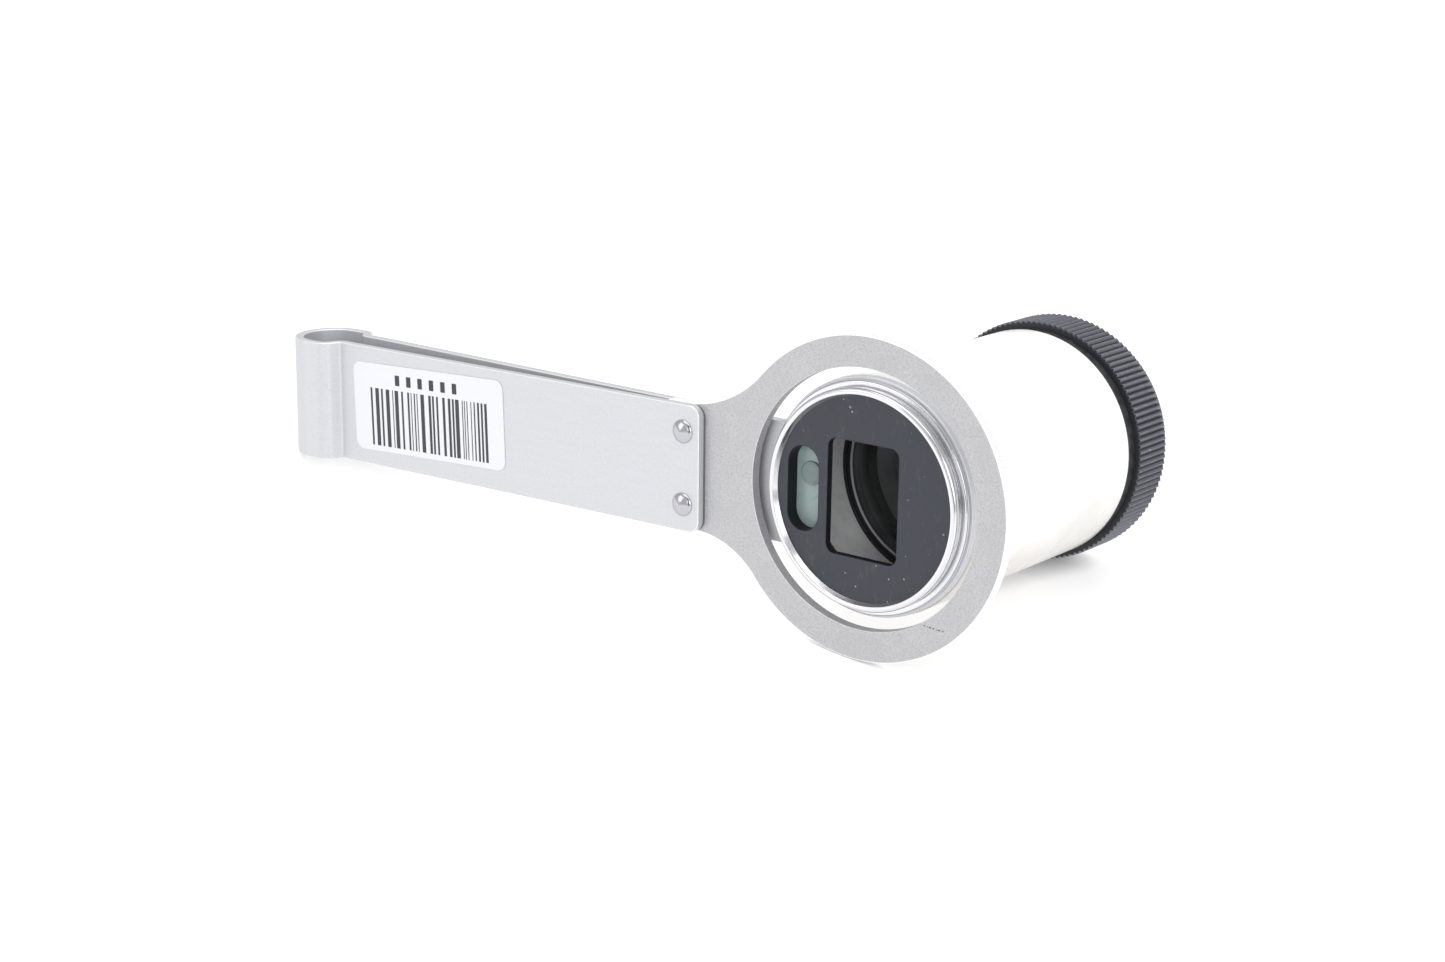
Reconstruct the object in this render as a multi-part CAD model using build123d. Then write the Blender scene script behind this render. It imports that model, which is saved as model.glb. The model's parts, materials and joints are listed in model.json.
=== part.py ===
from build123d import *
import os
from math import asin, atan, atan2, cos, hypot, radians, sin, sqrt

# Viewing loupe for 8 x 11 mm film: a lens barrel on the rear arm of a folded spring handle, with a
# ring plate on the front arm that fits round the film gate and holds the film strip down.
#
# All sub-parts are modelled in the loupe's frame, in millimetres: the optical axis is Y, the film
# gate looks along -Y from just behind Y = 0, the handle runs along -X, and Z is up. The last
# section lays the finished loupe on its side on the plane Z = 0, the way it rests on a table.

# ---- film gate ----
GATE_WIDTH = 7.9
GATE_HEIGHT = 11.0
GATE_CORNER = 0.9
GATE_X = -0.05
GATE_Z = -0.15
GATE_TURN = -0.4            # degrees, the disc's small turn about the optical axis
GATE_LAND = 0.75            # thickness of the disc's edge round the window
GATE_RELIEF = 0.6           # width of the pocket behind that edge
DISC_RADIUS = 9.85
DISC_FRONT = 0.4            # the disc lies a little behind the collar's rim
DISC_BACK = 1.85
SLOT_WIDTH = 3.5
SLOT_HEIGHT = 8.16
SLOT_X = -6.78
SLOT_Z = -0.08
INSERT_MARGIN = 0.6         # how far the green insert reaches behind the disc round the slot
INSERT_THICKNESS = 0.8
BOSS_RADIUS = 1.15
BOSS_HEIGHT = 0.25
BOSS_Z = 1.1

# ---- collar that carries the gate ----
COLLAR_RIM_RADIUS = 10.55
COLLAR_RIM_FRONT = -0.12
COLLAR_MOUTH_RADIUS = 9.9
COLLAR_BEAD_BACK = 0.7
COLLAR_GROOVE_RADIUS = 10.4
COLLAR_STEP_FRONT = 0.95
COLLAR_WALL_RADIUS = 11.1
COLLAR_NECK_RADIUS = 10.5
COLLAR_NECK_BACK = 5.3
COLLAR_BORE_RADIUS = 9.4

# ---- handle strip ----
STRIP_THICKNESS = 0.9
STRIP_HEIGHT = 12.5
LOOP_X = -68.2              # centre of the round end of the handle
LOOP_Y = -0.4
LOOP_RADIUS = 3.6           # middle of the strip
LOOP_FLAT_END = -66.35      # where the loop's flat sides turn in towards the arms
SEAM_HALF_GAP = 0.03
REAR_FACE_Y = 1.5           # front face of the rear arm
REAR_END_TOP = 5.6          # the rear arm narrows towards the barrel
REAR_END_BOTTOM = -6.15
EYE_RADIUS = 11.35
FRONT_ARM_BACK_Y = -1.66    # back face of the front arm, before it springs open
FRONT_ARM_END_X = -18.1
FRONT_ARM_CORNER = 1.2
REST_OPENING = 1.55         # degrees between the two arms at rest
ARM_START_X = -63.0         # the arms are flat from here on
LOOP_CORNER = 3.5           # bends of the strip's middle: round the loop, into the jog, out of it
JOG_OUTER_RADIUS = 1.2
JOG_INNER_RADIUS = 0.75
JOG_SLOPE = 0.45            # run along the handle for each millimetre of the jog's depth

# ---- ring plate ----
RING_OUTER = 15.4
RING_HOLE = 12.4
RING_THICKNESS = 1.1
TANG_END_X = -22.9
NECK_FILLET_TOP = 12.0
NECK_FILLET_LOW = 9.0
RIVET_X = -20.0
RIVET_SPACING = 7.2
RIVET_HEAD_RADIUS = 1.15
RIVET_HEAD_HEIGHT = 0.6
RIVET_SHANK_RADIUS = 0.7

# ---- stock label ----
LABEL_WIDTH = 20.6
LABEL_HEIGHT = 9.3
LABEL_CORNER = 1.0
LABEL_X = -52.85
LABEL_Z = 0.28
LABEL_TURN = 2.0
LABEL_THICKNESS = 0.1

# ---- barrel and lens cell ----
BARREL_RADIUS = 11.44
BARREL_BORE = 10.1
BARREL_BACK = 29.0
BARREL_NECK_RADIUS = 10.75
BARREL_NECK_BACK = 33.0
TUBE_RADIUS = 10.05
TUBE_FRONT = 11.3
TUBE_BACK = 34.0
TUBE_FLANGE_RADIUS = 10.6
TUBE_FLANGE_FRONT = 33.5
FRONT_LENS_RADIUS = 9.65
FRONT_LENS_SEAT = 18.2
SPACER_OPENING = 8.6
SPACER_BACK = 23.2
EYE_LENS_RADIUS = 9.2
EYE_LENS_SEAT = 25.2
RETAINER_THICKNESS = 0.6
RETAINER_OPENING = 9.1
EYE_RETAINER_FRONT = 31.8
EYE_RETAINER_OPENING = 8.3
SPANNER_SLOT = 1.2
RECESS = 0.1                # how far the retaining rings lie below the tube's ends
LENS_BEVEL = 0.15           # room for a lens's bevel under its retaining ring
LENS_PAIR_EDGE = 2.6        # edge thickness of the outer lens of each cemented pair
OUTER_CURVE = 62.0
CEMENT_CURVE = 26.0
FLAT_CURVE = 160.0
KEY_WIDTH = 1.6
KEY_FRONT = 26.0
KEY_LENGTH = 2.0
KEY_TIP = 9.55              # distance of the key's tip from the optical axis
KEY_DEPTH = 0.85
KEY_MARGIN = 0.15
FOCUS_TRAVEL = 2.5
SLIDE_CLEARANCE = 0.05

# ---- focus ring and eyepiece ----
RING_FRONT = 29.1
RING_BACK = 35.35
RING_COLLAR_RADIUS = 11.3
RING_BORE = BARREL_NECK_RADIUS + SLIDE_CLEARANCE
RING_LIP_RADIUS = 10.2
RING_LIP_FRONT = 33.1
RING_LIP_BACK = 33.45
KNURL_FRONT = 30.15
KNURL_TIP = 12.12
KNURL_ROOT = 11.82
KNURL_COUNT = 120
KNURL_BEVEL = 0.4           # of the knurl's rear edge
CAP_FRONT = 34.1
CAP_BACK = 36.35
CAP_RADIUS = 11.4
CAP_OPENING = 8.6
CAP_MOUTH = 10.3


def turned(points, rounds=()):
    """A solid of revolution about the optical axis from (radius, y) points; rounds are its fillets."""
    profile = Polygon(*points, align=None)
    for place, radius in rounds:
        corner = profile.vertices().sort_by_distance((*place, 0))[0]
        profile = fillet(corner, radius)
    return revolve(profile, Axis.Y)


def plate(sketch, y_front, y_back):
    """A sketch drawn in (x, z) and given thickness from y_front to y_back."""
    face_plane = Plane(origin=(0, y_back, 0), x_dir=(1, 0, 0), z_dir=(0, -1, 0))
    return extrude(face_plane * sketch, y_back - y_front, dir=(0, -1, 0))


def lens(radius, front, back):
    """A lens; front and back are (edge y, surface radius), positive when the vertex is nearer -Y."""
    def surface(edge_y, curvature):
        depth = abs(curvature) - sqrt(curvature ** 2 - radius ** 2)
        half = radius / 2
        half_depth = abs(curvature) - sqrt(curvature ** 2 - half ** 2)
        side = -1 if curvature > 0 else 1
        vertex = (0, edge_y + side * depth)
        middle = (half, vertex[1] - side * half_depth)
        return vertex, ThreePointArc(vertex, middle, (radius, edge_y))

    front_vertex, front_arc = surface(*front)
    back_vertex, back_arc = surface(*back)
    rim = Line((radius, front[0]), (radius, back[0]))
    axis = Line(front_vertex, back_vertex)
    return revolve(make_face([front_arc, rim, back_arc, axis]), Axis.Y)


# ---- handle: one strip, folded, split at the far end of its loop ----
def folded_end(arm_y, side):
    """Half of the folded strip's loop, with the jog that leads to the arm whose middle runs at arm_y."""
    loop_x = LOOP_X - LOOP_RADIUS
    flat_y = LOOP_Y + side * LOOP_RADIUS
    drop = abs(flat_y - arm_y)
    path = FilletPolyline(
        (loop_x, LOOP_Y + side * SEAM_HALF_GAP),
        (loop_x, flat_y),
        (LOOP_FLAT_END, flat_y),
        (LOOP_FLAT_END + drop * JOG_SLOPE, arm_y),
        (ARM_START_X, arm_y),
        radius=[LOOP_CORNER, JOG_OUTER_RADIUS, JOG_INNER_RADIUS],
    )
    section_plane = Plane(origin=path @ 0, x_dir=(1, 0, 0), z_dir=path % 0)
    return sweep(section_plane * Rectangle(STRIP_THICKNESS, STRIP_HEIGHT), path)


def front_arm():
    front = FRONT_ARM_BACK_Y - STRIP_THICKNESS
    outline = Pos(ARM_START_X, 0) * Rectangle(
        FRONT_ARM_END_X - ARM_START_X, STRIP_HEIGHT, align=(Align.MIN, Align.CENTER))
    arm = plate(outline, front, FRONT_ARM_BACK_Y)
    corners = arm.edges().filter_by(Axis.Y).group_by(Axis.X)[-1]
    arm = fillet(corners, FRONT_ARM_CORNER)
    return folded_end((front + FRONT_ARM_BACK_Y) / 2, -1) + arm - rivet_bores()


def rear_arm():
    back = REAR_FACE_Y + STRIP_THICKNESS
    half = STRIP_HEIGHT / 2
    outline = Polygon(
        (ARM_START_X, -half), (0, REAR_END_BOTTOM), (0, REAR_END_TOP), (ARM_START_X, half), align=None)
    arm = plate(outline, REAR_FACE_Y, back) + plate(Circle(EYE_RADIUS), REAR_FACE_Y, back)
    arm -= plate(Circle(COLLAR_NECK_RADIUS), REAR_FACE_Y, back)
    return folded_end((REAR_FACE_Y + back) / 2, 1) + arm


# ---- ring plate and what fastens it to the front arm ----
def neck_fillet(radius):
    """The centre of a fillet between the tang's edge and the ring, and the point where it meets the ring."""
    z = STRIP_HEIGHT / 2 + radius
    x = -sqrt((RING_OUTER + radius) ** 2 - z ** 2)
    reach = RING_OUTER / (RING_OUTER + radius)
    return (x, z), (x * reach, z * reach)


def ring_plate():
    half = STRIP_HEIGHT / 2
    (top_x, top_z), top_meets = neck_fillet(NECK_FILLET_TOP)
    (low_x, low_z), low_meets = neck_fillet(NECK_FILLET_LOW)
    neck = Polygon(
        (0, -low_meets[1]), (low_meets[0], -low_meets[1]), (low_x, -half),
        (TANG_END_X, -half), (TANG_END_X, half),
        (top_x, half), top_meets, (0, top_meets[1]),
        align=None)
    neck -= Pos(low_x, -low_z) * Circle(NECK_FILLET_LOW)
    neck -= Pos(top_x, top_z) * Circle(NECK_FILLET_TOP)
    back = FRONT_ARM_BACK_Y + RING_THICKNESS
    body = plate(Circle(RING_OUTER), FRONT_ARM_BACK_Y, back) + plate(neck, FRONT_ARM_BACK_Y, back)
    body -= plate(Circle(RING_HOLE), FRONT_ARM_BACK_Y, back)
    return body - rivet_bores()


def rivet_places():
    return [Pos(RIVET_X, 0, sign * RIVET_SPACING / 2) for sign in (-1, 1)]


def rivet_bores():
    shank = Rot(90, 0, 0) * Cylinder(RIVET_SHANK_RADIUS, STRIP_HEIGHT)
    return [place * shank for place in rivet_places()]


def tang_rivets():
    """Two round-head rivets: head in front of the arm, shank closed flush with the tang's back."""
    head_y = FRONT_ARM_BACK_Y - STRIP_THICKNESS
    tail_y = FRONT_ARM_BACK_Y + RING_THICKNESS
    top = (0, head_y - RIVET_HEAD_HEIGHT)
    dome_radius = (RIVET_HEAD_RADIUS ** 2 + RIVET_HEAD_HEIGHT ** 2) / (2 * RIVET_HEAD_HEIGHT)
    half = RIVET_HEAD_RADIUS / 2
    middle = (half, top[1] + dome_radius - sqrt(dome_radius ** 2 - half ** 2))
    dome = ThreePointArc(top, middle, (RIVET_HEAD_RADIUS, head_y))
    outline = Polyline((RIVET_HEAD_RADIUS, head_y), (RIVET_SHANK_RADIUS, head_y),
                       (RIVET_SHANK_RADIUS, tail_y), (0, tail_y), top)
    rivet = revolve(make_face([dome, outline]), Axis.Y)
    return [place * rivet for place in rivet_places()]


def stock_label():
    front = FRONT_ARM_BACK_Y - STRIP_THICKNESS
    outline = Pos(LABEL_X, LABEL_Z) * Rot(0, 0, LABEL_TURN) * RectangleRounded(
        LABEL_WIDTH, LABEL_HEIGHT, LABEL_CORNER)
    return plate(outline, front - LABEL_THICKNESS, front)


# ---- film gate ----
def with_gate_turn(sketch):
    return Rot(0, 0, GATE_TURN) * sketch


def slot_outline(margin=0.0):
    width = SLOT_WIDTH + 2 * margin
    height = SLOT_HEIGHT + 2 * margin
    return with_gate_turn(Pos(SLOT_X, SLOT_Z) * SlotOverall(height, width, rotation=90))


def gate_outline(margin=0.0):
    return with_gate_turn(Pos(GATE_X, GATE_Z) * RectangleRounded(
        GATE_WIDTH + 2 * margin, GATE_HEIGHT + 2 * margin, GATE_CORNER + margin / 2))


def gate_disc():
    disc = plate(Circle(DISC_RADIUS), DISC_FRONT, DISC_BACK)
    window = plate(gate_outline(), DISC_FRONT, DISC_BACK)
    relief = plate(gate_outline(GATE_RELIEF), DISC_FRONT + GATE_LAND, DISC_BACK)
    slot = plate(slot_outline(), DISC_FRONT, DISC_BACK)
    return disc - window - relief - slot


def slot_insert():
    backing = slot_outline(INSERT_MARGIN) & Circle(COLLAR_BORE_RADIUS - SLIDE_CLEARANCE)
    pane = plate(backing, DISC_BACK, DISC_BACK + INSERT_THICKNESS)
    boss_circle = with_gate_turn(Pos(SLOT_X, BOSS_Z) * Circle(BOSS_RADIUS))
    return pane + plate(boss_circle, DISC_BACK - BOSS_HEIGHT, DISC_BACK)


def gate_collar():
    rim = (COLLAR_RIM_RADIUS, COLLAR_RIM_FRONT)
    bead_back = (COLLAR_RIM_RADIUS, COLLAR_BEAD_BACK)
    step = (COLLAR_WALL_RADIUS, COLLAR_STEP_FRONT)
    return turned(
        [(COLLAR_MOUTH_RADIUS, COLLAR_RIM_FRONT), rim, bead_back, (COLLAR_GROOVE_RADIUS, COLLAR_BEAD_BACK),
         (COLLAR_GROOVE_RADIUS, COLLAR_STEP_FRONT), step, (COLLAR_WALL_RADIUS, REAR_FACE_Y),
         (COLLAR_NECK_RADIUS, REAR_FACE_Y), (COLLAR_NECK_RADIUS, COLLAR_NECK_BACK),
         (COLLAR_BORE_RADIUS, COLLAR_NECK_BACK), (COLLAR_BORE_RADIUS, DISC_BACK),
         (DISC_RADIUS, DISC_BACK), (DISC_RADIUS, DISC_FRONT), (COLLAR_MOUTH_RADIUS, DISC_FRONT)],
        rounds=[(rim, 0.4), (bead_back, 0.1), (step, 0.25)])


# ---- barrel ----
def key_block(margin=0.0, travel=0.0):
    """The key that stops the lens cell turning, or with a margin and travel the slot that it runs in."""
    return Pos(0, KEY_FRONT - margin - travel, margin - KEY_TIP) * Box(
        KEY_WIDTH + 2 * margin, KEY_LENGTH + 2 * margin + travel, KEY_DEPTH + margin,
        align=(Align.CENTER, Align.MIN, Align.MAX))


def barrel():
    front = REAR_FACE_Y + STRIP_THICKNESS
    tube = turned(
        [(COLLAR_NECK_RADIUS, front), (BARREL_RADIUS, front), (BARREL_RADIUS, BARREL_BACK),
         (BARREL_NECK_RADIUS, BARREL_BACK), (BARREL_NECK_RADIUS, BARREL_NECK_BACK),
         (BARREL_BORE, BARREL_NECK_BACK), (BARREL_BORE, COLLAR_NECK_BACK),
         (COLLAR_NECK_RADIUS, COLLAR_NECK_BACK)],
        rounds=[((BARREL_RADIUS, front), 0.2), ((BARREL_RADIUS, BARREL_BACK), 0.2)])
    return tube - key_block()


def guide_key():
    return key_block()


# ---- lens cell ----
def lens_tube():
    tube = turned([
        (FRONT_LENS_RADIUS, TUBE_FRONT), (TUBE_RADIUS, TUBE_FRONT),
        (TUBE_RADIUS, TUBE_FLANGE_FRONT), (TUBE_FLANGE_RADIUS, TUBE_FLANGE_FRONT),
        (TUBE_FLANGE_RADIUS, TUBE_BACK), (EYE_LENS_RADIUS, TUBE_BACK),
        (EYE_LENS_RADIUS, EYE_LENS_SEAT), (SPACER_OPENING, EYE_LENS_SEAT),
        (SPACER_OPENING, SPACER_BACK), (FRONT_LENS_RADIUS, SPACER_BACK)])
    return tube - key_block(KEY_MARGIN, FOCUS_TRAVEL)


def lens_spacer():
    return turned([(SPACER_OPENING, FRONT_LENS_SEAT), (FRONT_LENS_RADIUS, FRONT_LENS_SEAT),
                   (FRONT_LENS_RADIUS, SPACER_BACK), (SPACER_OPENING, SPACER_BACK)])


def front_lens_ring():
    front = TUBE_FRONT + RECESS
    return turned([(RETAINER_OPENING, front), (FRONT_LENS_RADIUS, front),
                   (FRONT_LENS_RADIUS, front + RETAINER_THICKNESS),
                   (RETAINER_OPENING, front + RETAINER_THICKNESS)])


FRONT_LENS_EDGE = TUBE_FRONT + RECESS + RETAINER_THICKNESS + LENS_BEVEL
FRONT_CEMENT_EDGE = FRONT_LENS_EDGE + LENS_PAIR_EDGE
EYE_CEMENT_EDGE = EYE_RETAINER_FRONT - LENS_PAIR_EDGE


def front_crown_lens():
    return lens(FRONT_LENS_RADIUS, (FRONT_LENS_EDGE, OUTER_CURVE), (FRONT_CEMENT_EDGE, -CEMENT_CURVE))


def front_flint_lens():
    return lens(FRONT_LENS_RADIUS, (FRONT_CEMENT_EDGE, -CEMENT_CURVE), (FRONT_LENS_SEAT, FLAT_CURVE))


def eye_flint_lens():
    return lens(EYE_LENS_RADIUS, (EYE_LENS_SEAT, -FLAT_CURVE), (EYE_CEMENT_EDGE, CEMENT_CURVE))


def eye_crown_lens():
    return lens(EYE_LENS_RADIUS, (EYE_CEMENT_EDGE, CEMENT_CURVE), (EYE_RETAINER_FRONT, -OUTER_CURVE))


def eye_lens_ring():
    back = TUBE_BACK - RECESS
    front = EYE_RETAINER_FRONT + LENS_BEVEL
    ring = turned([(EYE_RETAINER_OPENING, front), (EYE_LENS_RADIUS, front),
                   (EYE_LENS_RADIUS, back), (EYE_RETAINER_OPENING, back)])
    slots = Pos(0, back, 0) * Box(3 * EYE_LENS_RADIUS, 2 * RETAINER_THICKNESS, SPANNER_SLOT)
    return ring - slots


# ---- focus ring and eyepiece cap ----
def knurl_outline():
    points = []
    for index in range(2 * KNURL_COUNT):
        angle = radians(180 * index / KNURL_COUNT)
        radius = KNURL_TIP if index % 2 == 0 else KNURL_ROOT
        points.append((radius * cos(angle), radius * sin(angle)))
    return Polygon(*points, align=None)


def knurl():
    """The ridged band, with its rear edge bevelled right through the ridges."""
    bevel = turned([(KNURL_TIP - KNURL_BEVEL, RING_BACK), (KNURL_TIP + KNURL_BEVEL, RING_BACK),
                    (KNURL_TIP + KNURL_BEVEL, RING_BACK - 2 * KNURL_BEVEL)])
    return plate(knurl_outline(), KNURL_FRONT, RING_BACK) - bevel


def focus_ring():
    collar = plate(Circle(RING_COLLAR_RADIUS), RING_FRONT, KNURL_FRONT)
    bore = turned([(0, RING_FRONT - 1), (RING_BORE, RING_FRONT - 1), (RING_BORE, RING_LIP_FRONT),
                   (RING_LIP_RADIUS, RING_LIP_FRONT), (RING_LIP_RADIUS, RING_LIP_BACK),
                   (RING_BORE, RING_LIP_BACK), (RING_BORE, RING_BACK + 1), (0, RING_BACK + 1)])
    return knurl() + collar - bore


def eyepiece_cap():
    rim = (CAP_RADIUS, CAP_BACK)
    mouth = (CAP_MOUTH, CAP_BACK)
    return turned(
        [(CAP_OPENING, CAP_FRONT), (RING_BORE, CAP_FRONT), (RING_BORE, RING_BACK), (CAP_RADIUS, RING_BACK),
         rim, mouth, (CAP_OPENING, CAP_FRONT + 0.5)],
        rounds=[(rim, 0.35), (mouth, 0.2)])


# ---- the loupe lying on its side ----
# It rests on three places: the ring plate's edge, the focus ring's rear edge and the lower edge of
# the handle's loop. The first two set the pitch of the optical axis, the third sets the roll.
HINGE_X = LOOP_X - LOOP_RADIUS
RING_SHIFT = -HINGE_X * sin(radians(REST_OPENING))
RING_BACK_Y = FRONT_ARM_BACK_Y + RING_THICKNESS + RING_SHIFT
PITCH = atan((RING_OUTER - KNURL_TIP) / (RING_BACK - KNURL_BEVEL - RING_BACK_Y))
FLOOR_DISTANCE = RING_OUTER * cos(PITCH) + RING_BACK_Y * sin(PITCH)
LOOP_EDGE = LOOP_RADIUS + STRIP_THICKNESS / 2
FOOT_X = LOOP_X - 0.8 * LOOP_EDGE
FOOT_Y = LOOP_Y + 0.6 * LOOP_EDGE
FOOT_Z = -STRIP_HEIGHT / 2
FOOT_DROP = (FLOOR_DISTANCE - FOOT_Y * sin(PITCH)) / cos(PITCH)
ROLL = asin(FOOT_DROP / hypot(FOOT_X, FOOT_Z)) - atan2(-FOOT_Z, -FOOT_X)


def resting():
    """The frame in which the loupe's own axes appear once the table is horizontal."""
    up = Vector(cos(PITCH) * sin(ROLL), -sin(PITCH), cos(PITCH) * cos(ROLL))
    right = (Vector(1, 0, 0) - up * up.X).normalized()
    table = Plane(origin=(0, 0, 0), x_dir=right, z_dir=up)
    return table.location.inverse()


def build():
    hinge = Pos(HINGE_X, LOOP_Y, 0)
    opened = hinge * Rot(0, 0, REST_OPENING) * hinge.inverse()
    on_front_arm = {
        "front_arm": front_arm(),
        "ring_plate": ring_plate(),
        "tang_rivets": tang_rivets(),
        "stock_label": stock_label(),
    }
    nodes = {name: moved(shape, opened) for name, shape in on_front_arm.items()}
    nodes.update({
        "rear_arm": rear_arm(),
        "gate_collar": gate_collar(),
        "gate_disc": gate_disc(),
        "slot_insert": slot_insert(),
        "barrel": barrel(),
        "guide_key": guide_key(),
        "lens_tube": lens_tube(),
        "lens_spacer": lens_spacer(),
        "front_lens_ring": front_lens_ring(),
        "front_crown_lens": front_crown_lens(),
        "front_flint_lens": front_flint_lens(),
        "eye_flint_lens": eye_flint_lens(),
        "eye_crown_lens": eye_crown_lens(),
        "eye_lens_ring": eye_lens_ring(),
        "focus_ring": focus_ring(),
        "eyepiece_cap": eyepiece_cap(),
    })
    return nodes


def moved(shape, place):
    if isinstance(shape, list):
        return [place * piece for piece in shape]
    return place * shape


def as_compound(shape):
    pieces = shape if isinstance(shape, list) else [shape]
    solids = [solid for piece in pieces for solid in piece.solids()]
    return solids[0] if len(solids) == 1 else Compound(solids)


tilt = resting()
parts = {name: as_compound(moved(shape, tilt)) for name, shape in build().items()}
box = Compound(list(parts.values())).bounding_box()
centre = box.center()
placing = Pos(-centre.X, -centre.Y, -box.min.Z)

os.makedirs("parts", exist_ok=True)
for name, shape in parts.items():
    export_step(placing * shape, f"parts/{name}.step")

rest = placing * tilt
for name, point in (("gate centre", (0, 0, 0)), ("spring hinge", (HINGE_X, LOOP_Y, 0))):
    print(name, (rest * Pos(*point)).position)
for name, end in (("x axis", (1, 0, 0)), ("y axis", (0, 1, 0)), ("z axis", (0, 0, 1))):
    print(name, (rest * Pos(*end)).position - rest.position)
print("size", box.size)
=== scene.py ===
import json
import math
import random

import bpy
import numpy as np
from mathutils import Matrix, Vector
from mathutils.geometry import tessellate_polygon


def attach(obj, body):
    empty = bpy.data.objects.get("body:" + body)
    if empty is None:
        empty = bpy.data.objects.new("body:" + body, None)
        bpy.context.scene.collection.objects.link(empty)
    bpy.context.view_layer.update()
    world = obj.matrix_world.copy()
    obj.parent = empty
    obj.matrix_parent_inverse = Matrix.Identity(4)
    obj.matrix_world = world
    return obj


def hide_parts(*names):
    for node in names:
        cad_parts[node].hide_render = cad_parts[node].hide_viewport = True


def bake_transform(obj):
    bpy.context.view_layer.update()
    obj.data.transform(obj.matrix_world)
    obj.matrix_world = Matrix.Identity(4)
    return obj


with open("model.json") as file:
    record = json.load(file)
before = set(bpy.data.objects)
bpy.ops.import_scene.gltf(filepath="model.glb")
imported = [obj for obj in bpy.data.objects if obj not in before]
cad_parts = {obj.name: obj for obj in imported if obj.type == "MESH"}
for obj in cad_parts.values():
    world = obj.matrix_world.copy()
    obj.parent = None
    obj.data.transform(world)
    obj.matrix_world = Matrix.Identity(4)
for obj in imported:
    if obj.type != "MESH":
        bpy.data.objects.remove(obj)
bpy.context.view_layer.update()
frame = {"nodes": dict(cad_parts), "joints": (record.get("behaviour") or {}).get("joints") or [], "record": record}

# A viewing loupe lying on its side. Everything is drawn in the loupe's own frame, in millimetres:
# the optical axis is Y, the film gate looks along -Y with its face at DISC_FRONT, the handle runs
# along -X and Z is up. The record's joints and mount say where that frame is.

MM = 0.001
ARC_STEP = 9.0  # degrees between the points of a fillet
TURNS = 256  # points round a turned part
FINE_TURNS = 384  # points round the parts that the picture shows largest

# ---- where the loupe is ----
joints = {joint["name"]: joint for joint in frame["joints"]}
mount = frame["record"]["mounts"][0]
MOUNT_PLACE = (7.0, 0.4)  # the mount's X and Y in the loupe's frame
axis_y = Vector(joints["focus_turn"]["axis"]).normalized()
axis_z = -Vector(joints["spring_arm_flex"]["axis"]).normalized()
axis_x = axis_y.cross(axis_z)
gate = Vector(mount["pos_m"]) - (axis_x * MOUNT_PLACE[0] + axis_y * MOUNT_PLACE[1]) * MM
AXES = Matrix((axis_x, axis_y, axis_z)).transposed().to_4x4()
LOUPE = Matrix.Translation(gate) @ AXES @ Matrix.Scale(MM, 4)
HINGE = LOUPE.inverted() @ Vector(joints["spring_arm_flex"]["pos_m"])
REST_OPENING = 1.55  # degrees that the front arm has sprung open
OPENED = (Matrix.Translation(HINGE) @ Matrix.Rotation(math.radians(REST_OPENING), 4, "Z")
          @ Matrix.Translation(-HINGE))
ARM = LOUPE @ OPENED


# ---- outlines: points and outward normals, anticlockwise round what is solid ----
def line_with_fillets(corners, closed=True):
    """Points and normals of a line through (x, y, fillet radius) corners; normals are on its right."""
    corners = [np.array(corner, float) for corner in corners]
    count = len(corners)
    points, normals = [], []
    for index, corner in enumerate(corners):
        if not closed and index in (0, count - 1):
            other = corners[1] if index == 0 else corners[-2]
            along = (other - corner)[:2] if index == 0 else (corner - other)[:2]
            along /= np.linalg.norm(along)
            points.append(corner[:2])
            normals.append((along[1], -along[0]))
            continue
        before = corner[:2] - corners[index - 1][:2]
        after = corners[(index + 1) % count][:2] - corner[:2]
        before /= np.linalg.norm(before)
        after /= np.linalg.norm(after)
        turn = math.atan2(before[0] * after[1] - before[1] * after[0], before @ after)
        reach = corner[2] * math.tan(abs(turn) / 2)
        side = 1 if turn > 0 else -1
        first = np.array((before[1], -before[0]))
        centre = corner[:2] - before * reach - first * corner[2] * side
        steps = max(2, math.ceil(math.degrees(abs(turn)) / ARC_STEP))
        for step in range(steps + 1):
            angle = turn * step / steps
            normal = np.array((first[0] * math.cos(angle) - first[1] * math.sin(angle),
                               first[0] * math.sin(angle) + first[1] * math.cos(angle)))
            points.append(centre + normal * corner[2] * side)
            normals.append(normal)
    return np.array(points), np.array(normals)


def arc(centre, radius, start, end, steps, inward=False):
    """Points from one angle in degrees to another; the normals of a hollow arc look at its centre."""
    angles = np.radians(np.linspace(start, end, steps + 1))
    away = np.stack((np.cos(angles), np.sin(angles)), 1)
    return np.array(centre) + away * radius, -away if inward else away


def circle(radius, centre=(0, 0)):
    points, normals = arc(centre, radius, 0, 360, TURNS)
    return points[:-1], normals[:-1]


def chain(*parts):
    """Outlines one after the other, as one."""
    return np.concatenate([part[0] for part in parts]), np.concatenate([part[1] for part in parts])


def hole(outline):
    """The same outline round a hole instead of round what is solid."""
    return outline[0][::-1], -outline[1][::-1]


def turned_by(outline, degrees, shift=(0, 0)):
    """An outline turned about its origin and then shifted."""
    angle = math.radians(degrees)
    matrix = np.array(((math.cos(angle), math.sin(angle)), (-math.sin(angle), math.cos(angle))))
    return outline[0] @ matrix + np.array(shift), outline[1] @ matrix


def rectangle(width, height, radius, centre=(0, 0)):
    x, z = width / 2, height / 2
    return line_with_fillets([(centre[0] + a * x, centre[1] + b * z, radius)
                              for a, b in ((-1, -1), (1, -1), (1, 1), (-1, 1))])


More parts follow.
